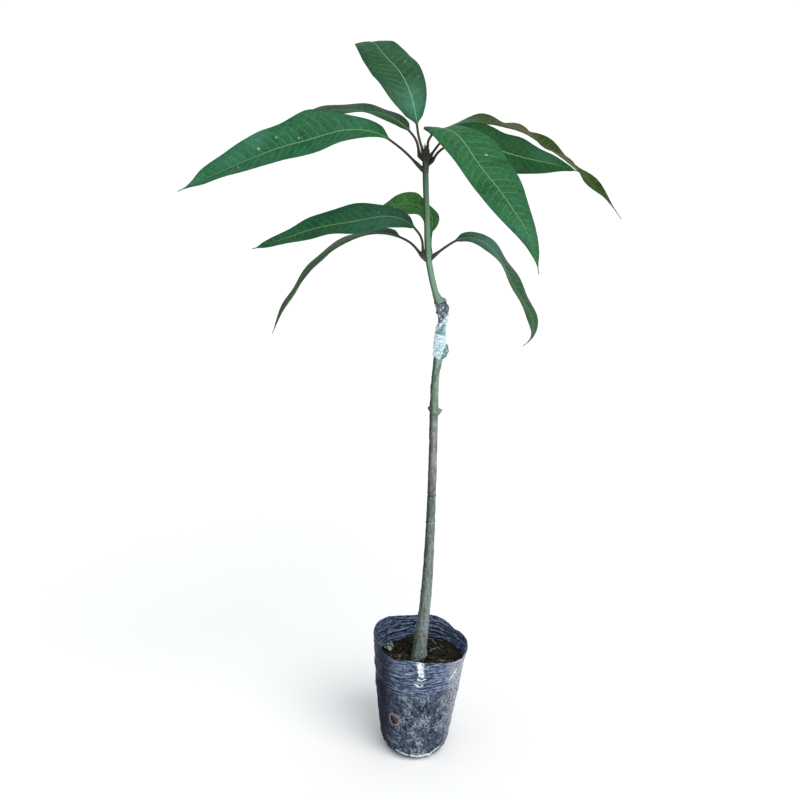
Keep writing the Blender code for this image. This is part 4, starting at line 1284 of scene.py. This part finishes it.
def make_soil():
    """Soil plug with a crumbly top."""
    circle = level_out(ring_angles(SOIL_SIDES))
    edge = SOIL_HEIGHT - SOIL_EDGE_DROP
    radius, height, _, _ = bag_wall(edge, corner_rows=8, wall_rows=70)
    low = 1.0 - smooth_step((height - 0.020) / 0.030)
    wall = circle * (radius - SOIL_INSET - 0.0045 * low)[..., None].clip(0.0)
    wall[..., 2] = height * (1.0 - SOIL_INSET / edge) + SOIL_INSET
    wall = lean_bag(wall)
    wall[:, :, :2] += circle[..., :2] * (0.0004 * noise(wall, 0.005, 95))[..., None]
    rim = wall[-1]
    centre = np.array([SOIL_CENTRE, 0.0, 0.0])
    cover = centre + (rim - centre) * np.sqrt(np.linspace(1.0, 0.0, 100))[1:-1, None, None]
    cover[..., 2] = soil_height(cover[..., 0], cover[..., 1])
    wall[-1, :, 2] = soil_height(rim[..., 0], rim[..., 1])
    f = Finish("potting_soil", roughness=0.95, specular=0.08)
    crumbs = f.noise(f.place(), 0.0022, 4.0, 0.7)
    dark = f.ramp(
        crumbs, (0.34, (0.003, 0.003, 0.003)), (0.50, (0.016, 0.017, 0.012)),
        (0.62, (0.040, 0.036, 0.026)), (0.78, (0.110, 0.090, 0.070)))
    red = f.ramp(
        crumbs, (0.30, (0.050, 0.024, 0.020)), (0.50, (0.150, 0.070, 0.060)),
        (0.70, (0.420, 0.260, 0.230)))
    f.set("Base Color", f.mix(f.step(f.axis("Z"), 0.080, 0.100), red, dark))
    f.bump(f.noise(f.place(), 0.0009, 4.0, 0.7), 0.0007)
    finish_piece(loft("soil_body", np.concatenate([wall, cover])), f.material, "potting_soil", "soil")


def icosphere(levels):
    """Points and faces of a unit ball."""
    ball = bmesh.new()
    bmesh.ops.create_icosphere(ball, subdivisions=levels, radius=1.0)
    points = np.array([vertex.co for vertex in ball.verts])
    faces = [tuple(vertex.index for vertex in face.verts) for face in ball.faces]
    ball.free()
    return points, faces


def make_crumbs():
    """Loose crumbs of soil, joined in one mesh."""
    rng = np.random.default_rng(97)
    ball, ball_faces = icosphere(levels=2)
    crumbs = []
    for _ in range(CRUMB_COUNT):
        turn = rng.uniform(0.0, math.tau)
        out = CRUMB_REACH * math.sqrt(rng.uniform(0.0, 1.0))
        x = SOIL_CENTRE + out * math.cos(turn)
        y = out * math.sin(turn)
        size = 0.0006 + 0.0017 * rng.uniform(0.0, 1.0) ** 2.5
        rough = 1.0 + 0.45 * noise(ball + rng.uniform(0, 90, 3), 0.9, 98)
        lump = ball * rough[:, None] * size * rng.uniform(0.7, 1.2, 3)
        z = float(soil_height(np.array(x), np.array(y))) + size * 0.35
        crumbs.append((lump + (x, y, z), ball_faces))
    f = Finish("soil_crumbs", roughness=0.95, specular=0.08)
    tone = f.noise(f.place(), 0.0060, 3.0, 0.7)
    f.set("Base Color", f.ramp(
        tone, (0.35, (0.005, 0.005, 0.004)), (0.55, (0.020, 0.016, 0.011)), (0.72, (0.075, 0.058, 0.038))))
    f.bump(f.noise(f.place(), 0.0008, 3.0, 0.6), 0.0004)
    make_joined("soil_crumbs", crumbs, f.material, "potting_soil")


def fibre(points, radius):
    """Rings of a thin tapering thread along points."""
    forward = unit(np.gradient(points, axis=0))
    side = np.cross(forward, UPWARD)
    side /= np.maximum(np.linalg.norm(side, axis=1, keepdims=True), 1e-6)
    over = np.cross(side, forward)
    angles = np.linspace(0.0, math.tau, 6, endpoint=False)[:, None]
    taper = radius * (1.0 - 0.6 * np.linspace(0.0, 1.0, len(points)))
    ring = side[:, None] * np.cos(angles) + over[:, None] * np.sin(angles)
    return points[:, None] + ring * taper[:, None, None]


def straw(start, heading, length, bend, radius, lift):
    """A dry straw that lies on the soil."""
    t = np.linspace(0.0, 1.0, 26)
    turn = heading + bend * (t - 0.5) + 0.25 * np.sin(t * 9.0 + heading)
    step = length / (len(t) - 1)
    x = start[0] + np.cumsum(np.cos(turn)) * step
    y = start[1] + np.cumsum(np.sin(turn)) * step
    z = soil_height(x, y) + radius * 0.6 + lift * np.sin(math.pi * t)
    return tube(fibre(np.stack([x, y, z], axis=-1), radius))


def make_rootlets():
    """Dry rootlets and straws on the soil, joined in one mesh."""
    rng = np.random.default_rng(101)
    parts = [straw(*facts) for facts in STRAWS]
    for _ in range(ROOTLET_COUNT):
        turn = rng.uniform(0.0, math.tau)
        out = ROOTLET_REACH * math.sqrt(rng.uniform(0.05, 1.0))
        start = (SOIL_CENTRE + out * math.cos(turn), out * math.sin(turn))
        parts.append(straw(
            start, rng.uniform(0.0, math.tau), rng.uniform(0.004, 0.013), rng.uniform(-2.0, 2.0),
            rng.uniform(0.00015, 0.00034), rng.uniform(0.0, 0.0010)))
    parts.append(tube(fibre(np.array(WALL_FIBRE), WALL_FIBRE_RADIUS), capped=False))
    f = Finish("dry_rootlets", roughness=0.8, specular=0.3)
    tone = f.noise(f.place(), 0.010, 2.0)
    f.set("Base Color", f.ramp(tone, (0.35, (0.130, 0.085, 0.048)), (0.60, (0.430, 0.340, 0.220))))
    make_joined("dry_rootlets", parts, f.material, "potting_soil")


def make_scrap():
    """Crumpled scrap of green leaf on the soil."""
    u = np.linspace(-1.0, 1.0, 40)[:, None]
    v = np.linspace(-1.0, 1.0, 26)[None, :]
    half_long, half_wide = SCRAP_HALF
    x = SCRAP_PLACE[0] + v * half_wide * np.sqrt(1.0 - 0.85 * u ** 2)
    y = SCRAP_PLACE[1] + u * half_long + 0.0 * v
    flat = flat_place(x, y)
    z = soil_height(x, y) + 0.0016 + 0.0016 * noise(flat, 0.0050, 111) + 0.0020 * u * v
    top = np.stack([x + 0.0008 * noise(flat, 0.0030, 113), y, z], axis=-1)
    f = Finish("leaf_scrap", roughness=0.6, specular=0.3)
    tone = f.noise(f.place(), 0.0030, 4.0, 0.65)
    f.set("Base Color", f.ramp(
        tone, (0.36, (0.010, 0.040, 0.018)), (0.48, (0.070, 0.160, 0.085)), (0.62, (0.400, 0.520, 0.430))))
    piece = loft("leaf_scrap", np.concatenate([top, top[:, ::-1] - (0.0, 0.0, 0.0004)], axis=1))
    finish_piece(piece, f.material, "potting_soil")


# Stage

def make_floor():
    """Plain pale floor."""
    bpy.ops.mesh.primitive_plane_add(size=FLOOR_SIZE, location=(0.0, 0.0, 0.0))
    floor = bpy.context.object
    floor.name = "studio_floor"
    f = Finish("studio_floor", roughness=0.9, specular=0.0)
    f.set("Base Color", FLOOR_COLOUR)
    floor.data.materials.append(f.material)


def make_lights():
    """Soft light from all round and a broad soft sun from the upper right front."""
    world = bpy.data.worlds.new("studio")
    world.use_nodes = True
    sky = world.node_tree.nodes["Background"]
    sky.inputs["Color"].default_value = (*SKY_COLOUR, 1.0)
    sky.inputs["Strength"].default_value = SKY_STRENGTH
    bpy.context.scene.world = world
    sun = bpy.data.lights.new("sun", "SUN")
    sun.energy = SUN_STRENGTH
    sun.angle = math.radians(SUN_SPREAD)
    sun.color = SUN_COLOUR
    item = bpy.data.objects.new("sun", sun)
    item.rotation_euler = Vector(SUN_PLACE).to_track_quat("Z", "Y").to_euler()
    bpy.context.scene.collection.objects.link(item)


def make_camera():
    """Camera in front, looking a little down."""
    lens = bpy.data.cameras.new("camera")
    lens.lens = LENS
    lens.sensor_width = SENSOR_WIDTH
    camera = bpy.data.objects.new("camera", lens)
    camera.location = CAMERA_PLACE
    camera.rotation_euler = (math.radians(CAMERA_TILT), 0.0, 0.0)
    bpy.context.scene.collection.objects.link(camera)
    bpy.context.scene.camera = camera
    bpy.context.scene.view_settings.view_transform = "Standard"


make_floor()
make_lights()
make_camera()
make_bag()
make_soil()
make_crumbs()
make_rootlets()
make_scrap()
make_rootstock()
make_scion_wood()
tape = tape_finish()
make_tape(tape)
make_strip(tape)
make_flap(tape)
make_shoot()
make_bud()
for number, (node, leaf) in enumerate(LEAVES.items()):
    make_leaf(node, {**LEAF_COMMON, **leaf}, number * 7 + 1)

bpy.context.view_layer.update()
